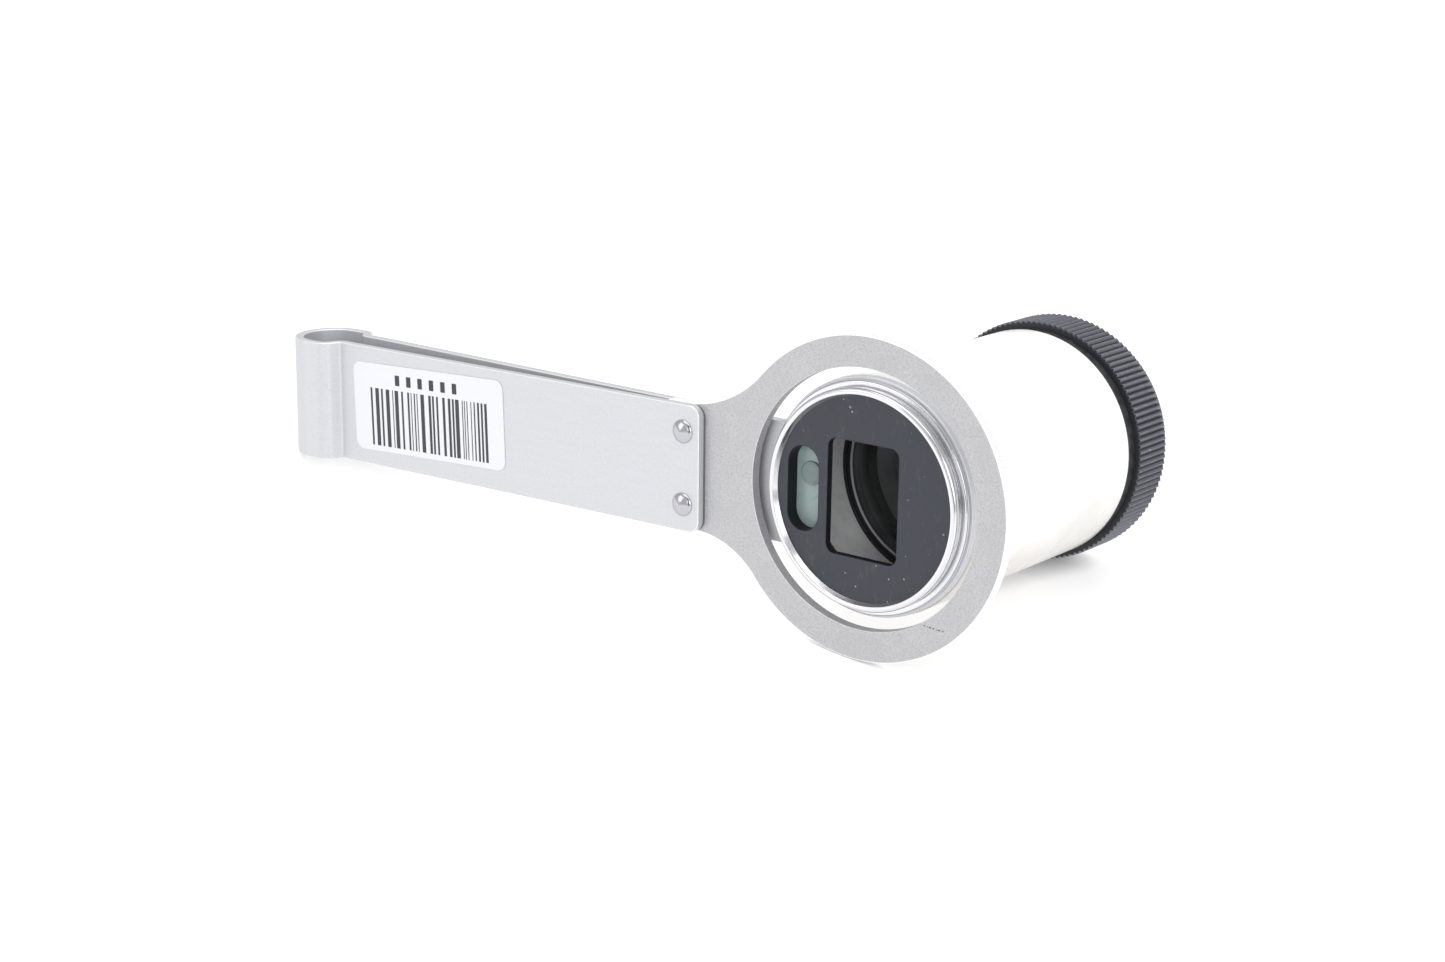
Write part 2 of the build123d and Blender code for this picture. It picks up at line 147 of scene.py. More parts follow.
# ---- meshes ----
class Shell:
    """Vertices with their own normals, how much of a worn edge each is, and faces with a material."""

    def __init__(self):
        self.points, self.normals, self.edges, self.faces, self.paints = [], [], [], [], []

    def row(self, points, normals, edge):
        start = len(self.points)
        self.points.extend(np.asarray(points, float))
        self.normals.extend(np.asarray(normals, float))
        self.edges.extend(np.broadcast_to(edge, len(points)).tolist())
        return list(range(start, len(self.points)))

    def face(self, corners, paint=0):
        corners = tuple(dict.fromkeys(corners))
        if len(corners) > 2:
            self.faces.append(corners)
            self.paints.append(paint)

    def between(self, first, second, paint=0):
        count = len(first)
        for index in range(count):
            follow = (index + 1) % count
            self.face((first[index], second[index], second[follow], first[follow]), paint)

    def ring(self, outline, inset, y, share, lean, edge):
        """A row round an outline in X and Z; its normals are a share of the outline's, with lean along Y."""
        points, normals = outline
        moved = points - normals * inset
        count = len(moved)
        here = np.stack((moved[:, 0], np.broadcast_to(y, count), moved[:, 1]), 1)
        facing = np.stack((normals[:, 0] * share, np.full(count, lean), normals[:, 1] * share), 1)
        return self.row(here, facing, edge)

    def wall(self, outline, levels, paint=0):
        """Rings round an outline, joined by faces; a level is what ring() takes after the outline."""
        rows = [self.ring(outline, *level) for level in levels]
        for first, second in zip(rows, rows[1:]):
            self.between(first, second, paint)
        return rows

    def cap(self, loops, back, paint=0):
        """Fills between loops of vertices in one plane of constant y."""
        flat = [[Vector((self.points[i][0], self.points[i][2], 0)) for i in loop] for loop in loops]
        members = [i for loop in loops for i in loop]
        for triangle in tessellate_polygon(flat):
            a, b, c = (self.points[members[i]] for i in triangle)
            area = (b[0] - a[0]) * (c[2] - a[2]) - (b[2] - a[2]) * (c[0] - a[0])
            corners = [members[i] for i in triangle]
            self.face(corners if (area > 0) != back else corners[::-1], paint)

    def plate(self, outline, holes, front, back, edge, hole_edge=None, back_edge=None, paint=0,
              wall_paint=None):
        """A flat plate from front to back with rounded edges; wall_paint is for its outer wall only."""
        firsts, lasts = [], []
        for index, loop in enumerate([outline, *(hole(one) for one in holes)]):
            radius = edge if index == 0 or hole_edge is None else hole_edge
            wall = paint if index else wall_paint or paint
            rows = self.wall(loop, rounded_levels(front, back, radius, back_edge or radius), wall)
            firsts.append(rows[0])
            lasts.append(rows[-1])
        self.cap(firsts, False, paint)
        self.cap(lasts, True, paint)

    def lathe(self, profile, paint=0, steps=TURNS, closed=False, edges=None):
        """Turns a profile in (radius, y) about the optical axis."""
        points, normals = profile
        angles = np.linspace(0, 2 * math.pi, steps, endpoint=False)
        rows = []
        for (radius, y), (out, lean), edge in zip(points, normals, edges or [0.0] * len(points)):
            if radius < 1e-6:
                rows.append(self.row([(0, y, 0)], [(0, lean, 0)], edge) * steps)
                continue
            here = np.stack((radius * np.cos(angles), np.full(steps, y), radius * np.sin(angles)), 1)
            facing = np.stack((out * np.cos(angles), np.full(steps, lean), out * np.sin(angles)), 1)
            rows.append(self.row(here, facing, edge))
        for first, second in zip(rows, rows[1:]):
            self.between(first, second, paint)
        if closed:
            self.between(rows[-1], rows[0], paint)

    def turned(self, corners, paint=0, steps=TURNS):
        """A turned solid from (radius, y, fillet) corners; its convex fillets are worn edges."""
        points, normals = line_with_fillets(corners)
        leading, following = np.roll(normals, 1, 0), np.roll(normals, -1, 0)
        bend = leading[:, 0] * following[:, 1] - leading[:, 1] * following[:, 0]
        self.lathe((points, normals), paint, steps, True, [1.0 if amount > 0.1 else 0.0 for amount in bend])

    def skin(self, corners, paint=0, steps=TURNS):
        """A turned surface from (radius, y, fillet) corners."""
        self.lathe(line_with_fillets(corners, closed=False), paint, steps)

    def add(self, other, shift):
        """Another shell's vertices and faces, shifted."""
        start = len(self.points)
        self.points += [point + np.array(shift) for point in other.points]
        self.normals += other.normals
        self.edges += other.edges
        self.faces += [tuple(i + start for i in face) for face in other.faces]
        self.paints += other.paints


def rounded_levels(front, back, front_radius, back_radius, steps=4):
    """Levels of a wall with rounded edges, which are most worn in the middle of their rounding."""
    def rounding(edge_y, radius, side):
        angles = [math.pi / 2 * step / steps for step in range(steps + 1)]
        return [(radius * (1 - math.sin(angle)), edge_y - side * radius * (1 - math.cos(angle)),
                 math.sin(angle), side * math.cos(angle), math.sin(2 * angle)) for angle in angles]

    return rounding(front, front_radius, -1) + rounding(back, back_radius, 1)[::-1]


def add_object(name, data):
    thing = bpy.data.objects.new(name, data)
    bpy.context.scene.collection.objects.link(thing)
    return thing


def make(name, shell, place, materials, body, replaces=()):
    """A piece from a shell, which is in millimetres in the frame that place leads out of."""
    mesh = bpy.data.meshes.new(name)
    points = np.array(shell.points)
    matrix = np.array(place)
    mesh.from_pydata((points @ matrix[:3, :3].T + matrix[:3, 3]).tolist(), [], shell.faces)
    mesh.shade_smooth()
    turning = matrix[:3, :3] / MM
    normals = np.array(shell.normals) @ turning.T
    normals /= np.linalg.norm(normals, axis=1)[:, None]
    mesh.normals_split_custom_set_from_vertices(normals.tolist())
    places = mesh.attributes.new("place", "FLOAT_VECTOR", "POINT")
    places.data.foreach_set("vector", points.astype(np.float32).ravel())
    edges = mesh.attributes.new("edge", "FLOAT", "POINT")
    edges.data.foreach_set("value", np.array(shell.edges, np.float32))
    for material in materials:
        mesh.materials.append(material)
    mesh.polygons.foreach_set("material_index", shell.paints)
    piece = add_object(name, mesh)
    if body:
        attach(piece, body)
    if replaces:
        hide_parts(*replaces)
    return piece


# ---- materials ----
NOISE_RANGE = (0.3, 0.7)  # where most of a noise texture's values lie


def set_inputs(node, **values):
    """Sets a node's inputs; an underscore stands for a space."""
    for name, value in values.items():
        node.inputs[name.replace("_", " ")].default_value = value


class Paint:
    """A Principled material with helpers that add nodes to it. A texture's scale is per millimetre."""

    def __init__(self, name, colour, metallic, roughness, on_cad=False, **sockets):
        self.material = bpy.data.materials.new(name)
        self.material.use_nodes = True
        self.tree = self.material.node_tree
        self.shader = self.tree.nodes["Principled BSDF"]
        self.colour = tuple(colour)
        set_inputs(self.shader, Base_Color=(*colour, 1.0), Metallic=metallic, Roughness=roughness, **sockets)
        if on_cad:
            source = self.node("TexCoord").outputs["Object"]
            self.place = self.scaled(source, (1 / MM, 1 / MM, 1 / MM))
        else:
            self.place = self.attribute("place", "Vector")
            self.edge = self.attribute("edge", "Fac")

    def attribute(self, name, output):
        attribute = self.node("Attribute")
        attribute.attribute_name = name
        return attribute.outputs[output]

    def node(self, kind):
        return self.tree.nodes.new("ShaderNode" + kind)

    def link(self, source, target):
        self.tree.links.new(source, target)

    def scaled(self, vector, scale, shift=(0, 0, 0)):
        mapping = self.node("Mapping")
        set_inputs(mapping, Scale=scale, Location=shift)
        self.link(vector, mapping.inputs["Vector"])
        return mapping.outputs["Vector"]

    def noise(self, scale, detail=3.0, roughness=0.55, stretch=(1, 1, 1), shift=(0, 0, 0), vector=None):
        texture = self.node("TexNoise")
        set_inputs(texture, Scale=scale, Detail=detail, Roughness=roughness)
        self.link(self.scaled(vector or self.place, stretch, shift), texture.inputs["Vector"])
        return texture.outputs["Fac"]

    def cells(self, scale):
        """Distance from the middle of the nearest cell."""
        texture = self.node("TexVoronoi")
        set_inputs(texture, Scale=scale)
        self.link(self.place, texture.inputs["Vector"])
        return texture.outputs["Distance"]

    def spread(self, value, low, high, to_low=0.0, to_high=1.0):
        """value from low..high to to_low..to_high, held at the ends."""
        spread = self.node("MapRange")
        self.link(value, spread.inputs["Value"])
        set_inputs(spread, From_Min=low, From_Max=high, To_Min=to_low, To_Max=to_high)
        return spread.outputs["Result"]

    def varied(self, noise, to_low, to_high):
        """A noise spread from to_low to to_high."""
        return self.spread(noise, *NOISE_RANGE, to_low, to_high)

    def maths(self, operation, first, second=None):
        maths = self.node("Math")
        maths.operation = operation
        for socket, value in zip(maths.inputs, (first, second)):
            if value is None:
                continue
            if isinstance(value, (int, float)):
                socket.default_value = value
            else:
                self.link(value, socket)
        return maths.outputs["Value"]

    def total(self, first, second):
        return self.maths("ADD", first, second)

    def product(self, first, second):
        return self.maths("MULTIPLY", first, second)

    def mixed(self, share, first, second):
        """Colour from first to second as share goes from 0 to 1; each is a colour or a socket."""
        mix = self.node("Mix")
        mix.data_type = "RGBA"
        self.link(share, mix.inputs["Factor"])
        for socket, value in ((mix.inputs["A"], first), (mix.inputs["B"], second)):
            if isinstance(value, tuple):
                socket.default_value = (*value, 1.0)
            else:
                self.link(value, socket)
        return mix.outputs["Result"]

    def split(self):
        parts = self.node("SeparateXYZ")
        self.link(self.place, parts.inputs["Vector"])
        return parts.outputs

    def tone(self, amount, fac):
        """The paint's colour, darker and lighter by amount as fac goes from 0 to 1."""
        dark = tuple(channel * (1 - amount) for channel in self.colour)
        light = tuple(min(1.0, channel * (1 + amount)) for channel in self.colour)
        return self.mixed(fac, dark, light)

    def finish(self, colour=None, roughness=None, height=None, strength=0.1, distance=0.01):
        """Links what is given to the shader; height is a bump of up to distance millimetres."""
        if colour is not None:
            self.link(colour, self.shader.inputs["Base Color"])
        if roughness is not None:
            self.link(roughness, self.shader.inputs["Roughness"])
        if height is not None:
            bump = self.node("Bump")
            set_inputs(bump, Strength=strength, Distance=distance * MM)
            self.link(height, bump.inputs["Height"])
            self.link(bump.outputs["Normal"], self.shader.inputs["Normal"])
        return self.material


def satin_strip():
    """Satin aluminium: an even grain, faintly drawn along the strip, and bright worn edges."""
    paint = Paint("satin_strip", (0.63, 0.635, 0.662), 0.7, 0.4)
    grain = paint.noise(4.5, 4.0, 0.65)
    rolled = paint.noise(3.0, 2.0, 0.5, stretch=(0.1, 1, 1))
    broad = paint.noise(0.16, 2.0)
    texture = paint.total(paint.product(grain, 0.85), paint.product(rolled, 0.15))
    colour = paint.tone(0.06, paint.spread(texture, 0.35, 0.65))
    cloudy = paint.mixed(paint.spread(broad, 0.35, 0.7, 0.0, 0.12), colour, (0.60, 0.605, 0.635))
    worn = paint.mixed(paint.spread(paint.edge, 0.2, 1.0, 0.0, 0.7), cloudy, (0.93, 0.93, 0.95))
    rough = paint.maths("SUBTRACT", paint.varied(texture, 0.42, 0.52), paint.product(paint.edge, 0.08))
    return paint.finish(worn, rough, texture, 0.25, 0.006)


def blasted_plate():
    """Bead-blasted aluminium: a coarse grain with pits, a little cloudy, and bright worn edges."""
    paint = Paint("blasted_plate", (0.515, 0.515, 0.528), 1.0, 0.5)
    grain = paint.noise(5.5, 2.0, 0.6)
    pits = paint.spread(paint.cells(3.4), 0.0, 0.5)
    blotch = paint.noise(0.45, 4.0)
    texture = paint.total(paint.product(grain, 0.8), paint.product(pits, 0.2))
    colour = paint.tone(0.19, paint.spread(texture, 0.32, 0.72))
    cloudy = paint.mixed(paint.spread(blotch, 0.35, 0.65, 0.0, 0.25), colour, (0.46, 0.46, 0.47))
    worn = paint.mixed(paint.spread(paint.edge, 0.1, 1.0, 0.0, 0.75), cloudy, (0.88, 0.88, 0.90))
    rough = paint.spread(texture, 0.3, 0.75, 0.44, 0.58)
    return paint.finish(worn, rough, texture, 0.5, 0.010)


def mottled(name, colour, metallic, tone, rough, noise, bump=None, on_cad=False, stretch=(1, 1, 1)):
    """One noise for the colour, the roughness from rough[0] to rough[1], and the bump."""
    paint = Paint(name, colour, metallic, sum(rough) / 2, on_cad)
    texture = paint.noise(*noise, stretch=stretch)
    height = (texture, *bump) if bump else ()
    return paint.finish(paint.tone(tone, texture), paint.varied(texture, *rough), *height)


def label_paper():
    paint = Paint("label_paper", (0.74, 0.75, 0.785), 0.0, 0.38)
    fibres = paint.noise(2.2, 4.0)
    paper = paint.tone(0.015, fibres)
    edge = paint.mixed(paint.spread(paint.edge, 0.1, 1.0, 0.0, 0.4), paper, (0.62, 0.63, 0.66))
    return paint.finish(edge, paint.varied(fibres, 0.32, 0.45), fibres, 0.08, 0.006)


def polished_collar():
    """Polished aluminium with fine turning marks, which depend on the radius and Y alone, and smudges."""
    paint = Paint("polished_collar", (0.71, 0.71, 0.73), 1.0, 0.18)
    x, y, z = paint.split()
    radius = paint.maths("SQRT", paint.total(paint.product(x, x), paint.product(z, z)))
    across = paint.node("CombineXYZ")
    paint.link(radius, across.inputs["X"])
    paint.link(y, across.inputs["Y"])
    turning = paint.noise(16.0, 3.0, vector=across.outputs["Vector"])
    smudge = paint.noise(0.9, 4.0)
    rough = paint.total(paint.spread(smudge, 0.35, 0.7, 0.13, 0.21), paint.varied(turning, 0.0, 0.04))
    return paint.finish(paint.tone(0.03, smudge), rough, turning, 0.05, 0.002)


def black_disc():
    """Black anodised aluminium with a faint smear, haze and specks of dust that gather in patches."""
    paint = Paint("black_anodised_disc", (0.018, 0.022, 0.034), 0.0, 0.36, Specular_IOR_Level=0.57)
    grain = paint.noise(9.0, 3.0)
    haze = paint.noise(0.4, 4.0, 0.6)
    smear = paint.spread(paint.noise(1.1, 5.0, 0.7, stretch=(1.6, 1, 0.6), shift=(2, 0, 5)), 0.56, 0.72)
    base = paint.mixed(paint.product(smear, 0.55), paint.tone(0.22, haze), (0.060, 0.064, 0.072))
    patches = paint.spread(paint.noise(0.35, 2.0, shift=(1, 4, 0)), 0.42, 0.62, 0.03, 0.12)
    dust = paint.maths("LESS_THAN", paint.cells(1.1), patches)
    specks = paint.mixed(paint.product(dust, 0.6), base, (0.36, 0.37, 0.39))
    worn = paint.mixed(paint.spread(paint.edge, 0.4, 1.0, 0.0, 0.3), specks, (0.40, 0.40, 0.42))
    rough = paint.total(paint.spread(haze, 0.35, 0.65, 0.3, 0.42), paint.varied(grain, 0.0, 0.05))
    return paint.finish(worn, rough, grain, 0.2, 0.004)


def green_pane(name, colour):
    """The translucent pane's look, drawn as a cloudy solid with a thin gloss."""
    paint = Paint(name, colour, 0.0, 0.3, Specular_IOR_Level=0.5, Coat_Weight=0.3, Coat_Roughness=0.15)
    depth = paint.noise(0.6, 3.0)
    specks = paint.maths("LESS_THAN", paint.cells(1.6), 0.07)
    cloudy = paint.tone(0.12, depth)
    return paint.finish(paint.mixed(paint.product(specks, 0.6), cloudy, (0.62, 0.70, 0.68)),
                        paint.varied(depth, 0.24, 0.38), depth, 0.1, 0.01)


def white_barrel():
    """Glossy white that has yellowed a little in patches, with painted shade that makes it darker and creamier
    towards the bottom, and a few long scuffs.
    """
    paint = Paint("white_barrel", (0.92, 0.91, 0.885), 0.0, 0.3, Coat_Weight=0.5, Coat_Roughness=0.12)
    # painted shade: darker and creamier towards the bottom, with patches of yellowing mixed in
    painted_shade_low = paint.spread(paint.split()["Z"], 1.0, -10.0)
    shade_and_yellowing = paint.total(painted_shade_low, paint.varied(paint.noise(0.09, 3.0), -0.25, 0.25))
    scuffs = paint.spread(paint.noise(0.5, 1.5, 0.5, stretch=(0.5, 0.35, 0.8), shift=(3, 1, 7)), 0.55, 0.8)
    shaded_and_aged = paint.mixed(paint.spread(shade_and_yellowing, 0.2, 1.1), (0.93, 0.925, 0.91), (0.49, 0.455, 0.40))
    marked = paint.mixed(paint.product(scuffs, 0.14), shaded_and_aged, (0.60, 0.57, 0.52))
    orange_peel = paint.noise(0.6, 1.0)
    rough = paint.total(paint.varied(orange_peel, 0.26, 0.34), paint.product(scuffs, 0.2))
    return paint.finish(marked, rough, orange_peel, 0.03, 0.02)


def barrel_inside():
    """The bore's wall, which shows through the gate: pale, smeared and stained."""
    paint = Paint("barrel_inside", (0.93, 0.935, 0.95), 0.0, 0.4)
    smear = paint.noise(0.45, 5.0, 0.65)
    stains = paint.spread(paint.noise(1.1, 5.0, 0.7, shift=(4, 0, 2)), 0.6, 0.72)
    base = paint.tone(0.14, paint.varied(smear, 0.0, 1.0))
    return paint.finish(paint.mixed(paint.product(stains, 0.45), base, (0.12, 0.12, 0.125)),
                        paint.varied(smear, 0.4, 0.6), smear, 0.1, 0.02)


def black_metal(name, colour, roughness, on_cad=False, worn=0.25, specular=0.55):
    """Black anodised metal, rubbed paler in patches along its edges; a CAD node has no edge attribute."""
    paint = Paint(name, colour, 0.0, roughness, on_cad, Specular_IOR_Level=specular)
    grain = paint.noise(7.0, 3.0)
    broad = paint.noise(0.5, 3.0)
    colour = paint.tone(0.3, broad)
    if not on_cad:
        rubbed = paint.spread(paint.product(paint.edge, paint.noise(1.4, 4.0)), 0.35, 0.62, 0.0, worn)
        colour = paint.mixed(rubbed, colour, (0.30, 0.30, 0.32))
    shine = paint.varied(broad, roughness - 0.05, roughness + 0.05)
    rough = paint.total(shine, paint.varied(grain, 0.0, 0.06))
    return paint.finish(colour, rough, grain, 0.3, 0.006)


def knurled():
    """Ridges with painted shade along the valleys, a base paler than the ring's plain black as painted sheen, and
    crests rubbed a little brighter, partly wear and partly a painted highlight, with chips.
    """
    paint = Paint("black_focus_ring", (0.095, 0.099, 0.127), 0.0, 0.34, Specular_IOR_Level=0.6)
    grain = paint.noise(7.0, 3.0)
    broad = paint.noise(0.4, 3.0)
    # painted shade: the valleys, where the edge value is low, are near black
    valley_shade = paint.mixed(paint.spread(paint.edge, 0.1, 0.55), (0.012, 0.012, 0.016), paint.tone(0.15, broad))
    # the crests are rubbed brighter in patches, partly wear and partly a painted highlight
    rubbed = paint.product(paint.spread(paint.edge, 0.8, 1.0),
                           paint.spread(paint.noise(1.3, 4.0), 0.35, 0.62, 0.1, 0.8))
    crest = paint.mixed(rubbed, valley_shade, (0.24, 0.245, 0.27))
    patches = paint.spread(paint.noise(0.45, 2.0, shift=(0, 3, 1)), 0.5, 0.65, 0.0, 0.1)
    chips = paint.maths("LESS_THAN", paint.cells(1.2), patches)
    chipped = paint.mixed(paint.product(chips, paint.spread(paint.edge, 0.5, 0.9)), crest, (0.62, 0.62, 0.63))
    rough = paint.total(paint.varied(broad, 0.29, 0.39), paint.varied(grain, 0.0, 0.06))
    return paint.finish(chipped, rough, grain, 0.25, 0.005)


def lens_glass():
    paint = Paint("lens_glass", (0.80, 0.84, 0.85), 0.0, 0.0, Transmission_Weight=1.0, IOR=1.53,
                  Specular_IOR_Level=0.15)
    film = paint.noise(0.35, 3.0)
    return paint.finish(roughness=paint.spread(film, 0.45, 0.8, 0.0, 0.03))


STRIP = satin_strip()
BLASTED = blasted_plate()
CUT_EDGE = mottled("blasted_plate_edge", (0.93, 0.93, 0.94), 0.4, 0.05, (0.24, 0.36), (6.0, 3.0),
                   (0.15, 0.006), stretch=(1, 4, 1))
# dark of the scratch marks, and of the painted shadow line round the front arm's end
NICK_AND_SHADE = mottled("dark_nick_and_painted_shade", (0.13, 0.135, 0.13), 0.0, 0.4, (0.6, 0.8), (12.0, 2.0))
RIVET = mottled("rivet_metal", (0.51, 0.51, 0.54), 1.0, 0.06, (0.13, 0.27), (4.0, 4.0), (0.12, 0.006))
PAPER = label_paper()
INK = mottled("label_ink", (0.035, 0.038, 0.048), 0.0, 0.35, (0.38, 0.55), (6.0, 3.0))
POLISHED = polished_collar()
DISC = black_disc()
# painted shade: a darker, less glossy copy of the disc's black for the walls of the slot and the window
DISC_WALL_SHADE = black_metal("black_disc_wall_painted_shade", (0.007, 0.008, 0.011), 0.5, worn=0.15, specular=0.25)
PANE = green_pane("green_pane", (0.27, 0.355, 0.352))
# painted shade: a darker copy of the pane's green, for the boss
SHADED_BOSS = green_pane("green_boss_painted_shade", (0.155, 0.205, 0.203))
WHITE = white_barrel()
INSIDE = barrel_inside()
# KNURL's base is paler than the ring's plain black, as painted sheen on the ridges; GROOVE is the plain black, for
# the collar, the front face and the bore
KNURL = knurled()
GROOVE = black_metal("black_focus_ring_groove", (0.014, 0.015, 0.019), 0.4, worn=0.1)
CAP = black_metal("black_eyepiece", (0.022, 0.022, 0.026), 0.42, worn=0.05)
TUBE = black_metal("black_lens_tube", (0.012, 0.012, 0.014), 0.45)
# pale on the front retainer's chamfer, partly rubbing and partly a painted highlight
RUBBED_AND_HIGHLIT = mottled("rubbed_and_highlight_lens_ring_edge", (0.40, 0.405, 0.415), 0.0, 0.2, (0.35, 0.5), (1.2, 3.0),
                 (0.1, 0.006))
TUBE_CAD = black_metal("black_lens_tube_inside", (0.012, 0.012, 0.014), 0.5, on_cad=True)
GLASS = lens_glass()
BRASS = mottled("key_brass", (0.70, 0.52, 0.25), 1.0, 0.2, (0.22, 0.42), (1.5, 4.0), (0.1, 0.01), on_cad=True)

# ---- the folded strip: front arm, loop and rear arm in one piece ----
STRIP_THICKNESS = 0.9
STRIP_HEIGHT = 12.5
STRIP_EDGE = 0.13  # rounding of its edges
LOOP_Y = HINGE.y
LOOP_RADIUS = 3.6
LOOP_FLAT_END = -66.35  # where the loop's flat sides turn in towards the arms
JOG_SLOPE = 0.45  # run along the handle for each millimetre of the jog's depth
LOOP_CORNER = 3.5
JOG_OUTER_RADIUS = 1.2
JOG_INNER_RADIUS = 0.75
ARM_START_X = -63.0  # the arms are flat from here on
FRONT_ARM_END_X = -18.1
FRONT_ARM_CORNER = 1.2
FRONT_ARM_BACK_Y = -1.66
REAR_FACE_Y = 1.5
REAR_END_TOP = 5.6  # the rear arm narrows towards the barrel
REAR_END_BOTTOM = -6.15
EYE_RADIUS = 11.35
EYE_HOLE = 10.5
EYE_FILLET = 1.2
PATH_END_X = 14.0  # past the eye
STATION_MARGIN = 0.5  # between the last plain cross-section and the eye's fillets
CORNER_STEPS = 10
EYE_STEPS = 180
EYE_FILLET_STEPS = 8


def strip_path():
    """The middle of the strip, seen from above, and the direction away from the inside of its loop."""
    def half(side, arm_y, end_x):
        flat_y = LOOP_Y + side * LOOP_RADIUS
        drop = abs(flat_y - arm_y)
        return [(end_x, arm_y, 0), (LOOP_FLAT_END + drop * JOG_SLOPE, arm_y, JOG_INNER_RADIUS),
                (LOOP_FLAT_END, flat_y, JOG_OUTER_RADIUS), (HINGE.x, flat_y, LOOP_CORNER),
                (HINGE.x, LOOP_Y, 0)]

    front = line_with_fillets(half(-1, FRONT_ARM_BACK_Y - STRIP_THICKNESS / 2, FRONT_ARM_END_X), closed=False)
    rear = line_with_fillets(half(1, REAR_FACE_Y + STRIP_THICKNESS / 2, PATH_END_X)[::-1], closed=False)
    around = np.array((HINGE.x, HINGE.y))
    points, normals = front
    opened = turned_by((points - around, normals), REST_OPENING, around)
    line, right = chain((opened[0][:-1], opened[1][:-1]), rear)
    return line, -right


def handle_strip():
    """The strip is drawn flat, s along it and z across it, and then bent along its path."""
    line, away = strip_path()
    along = np.concatenate(((0,), np.cumsum(np.linalg.norm(np.diff(line, axis=0), axis=1))))
    half = STRIP_HEIGHT / 2

    def at(x):
        """The place along the strip of an x on the rear arm."""
        return along[-1] - (PATH_END_X - x)

    rear_start = at(ARM_START_X)

    def edge_height(place, end):
        """How far an edge is from the strip's middle; end is its height where the optical axis is."""
        share = min(1.0, max(0.0, (place - rear_start) / -ARM_START_X))
        return half + (abs(end) - half) * share

    def eye_corner(end):
        """The centre of the fillet between the arm's edge and the eye, found in a few rounds."""
        centre_x = -EYE_RADIUS
        for _ in range(8):
            centre_z = edge_height(at(centre_x), end) + EYE_FILLET
            centre_x = -math.sqrt((EYE_RADIUS + EYE_FILLET) ** 2 - centre_z ** 2)
        return centre_x, centre_z

    top_x, top_z = eye_corner(REAR_END_TOP)
    low_x, low_z = eye_corner(REAR_END_BOTTOM)
    last = at(min(top_x, low_x)) - STATION_MARGIN
    stations = [place for place in along if FRONT_ARM_CORNER < place < last]
    stations = sorted([*stations, FRONT_ARM_CORNER, rear_start, last])

    corner = np.radians(np.linspace(0, 90, CORNER_STEPS + 1))[:-1]
    corner_s = FRONT_ARM_CORNER * (1 - np.cos(corner))
    corner_z = half - FRONT_ARM_CORNER + FRONT_ARM_CORNER * np.sin(corner)

    def side(sign, end):
        points = [(s, sign * z) for s, z in zip(corner_s, corner_z)]
        normals = [(-math.cos(a), sign * math.sin(a)) for a in corner]
        points += [(place, sign * edge_height(place, end)) for place in stations]
        normals += [(0.0, float(sign))] * len(stations)
        return np.array(points), np.array(normals)

    low, top = side(-1, REAR_END_BOTTOM), side(1, REAR_END_TOP)
    origin = at(0)
    low_angle = math.degrees(math.atan2(-low_z, low_x))
    top_angle = math.degrees(math.atan2(top_z, top_x))
    eye = chain(
        arc((origin + low_x, -low_z), EYE_FILLET, 90, low_angle + 180, EYE_FILLET_STEPS, inward=True),
        arc((origin, 0), EYE_RADIUS, low_angle, top_angle, EYE_STEPS),
        arc((origin + top_x, top_z), EYE_FILLET, top_angle - 180, -90, EYE_FILLET_STEPS, inward=True))
    outline = chain(low, eye, (top[0][::-1], top[1][::-1]))
    eye_hole = circle(EYE_HOLE, (origin, 0))

    shell = Shell()
    levels = rounded_levels(-STRIP_THICKNESS / 2, STRIP_THICKNESS / 2, STRIP_EDGE, STRIP_EDGE)
    outer = shell.wall(outline, levels)
    inner = shell.wall(hole(eye_hole), levels)
    count = len(low[0])
    for level, back in ((0, False), (-1, True)):
        loop = outer[level]
        bottoms, tops = loop[:count], loop[:-count - 1:-1]
        for i in range(count - 1):
            quad = (bottoms[i], bottoms[i + 1], tops[i + 1], tops[i])
            shell.face(quad[::-1] if back else quad)
        shell.cap([loop[count - 1:len(loop) - count + 1], inner[level]], back)

    flat = np.array(shell.points)
    facing = np.array(shell.normals)
    normal_x, normal_y = (np.interp(flat[:, 0], along, away[:, i]) for i in (0, 1))
    length = np.hypot(normal_x, normal_y)
    normal_x, normal_y = normal_x / length, normal_y / length
    bent = np.stack((np.interp(flat[:, 0], along, line[:, 0]) + normal_x * flat[:, 1],
                     np.interp(flat[:, 0], along, line[:, 1]) + normal_y * flat[:, 1], flat[:, 2]), 1)
    shell.points = list(bent)
    shell.normals = list(np.stack((normal_y * facing[:, 0] + normal_x * facing[:, 1],
                                   -normal_x * facing[:, 0] + normal_y * facing[:, 1], facing[:, 2]), 1))
    piece = make("handle_strip", shell, LOUPE, [STRIP], None, ("front_arm", "rear_arm"))
    piece.data.attributes["place"].data.foreach_set("vector", flat.astype(np.float32).ravel())
    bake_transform(piece)


handle_strip()

# ---- ring plate, rivets and label, all on the front arm ----
RING_OUTER = 15.4
RING_HOLE = 12.4
RING_THICKNESS = 1.1
TANG_END_X = -22.9
NECK_FILLET_TOP = 12.0
NECK_FILLET_LOW = 9.0
TANG_CORNER = 0.6
RING_STEPS = 220
NECK_TOP_STEPS = 36
NECK_LOW_STEPS = 30
RING_EDGE = 0.09  # rounding of the ring plate's front edge
RING_HOLE_EDGE = 0.07
RING_BACK_EDGE = 0.02
RIVET_X = -20.0
RIVET_SPACING = 7.2
RIVET_RADIUS = 1.15
RIVET_HEIGHT = 0.6
RIVET_ROUND_SHARE = 0.72  # the rest of the head's height is a cone
RIVET_STEEPEST = 0.985  # keeps the dome's outline from going straight up at its rim
RIVET_SHANK = 0.7
RIVET_TAIL = 0.02  # how far the shank stands out of the tang's back
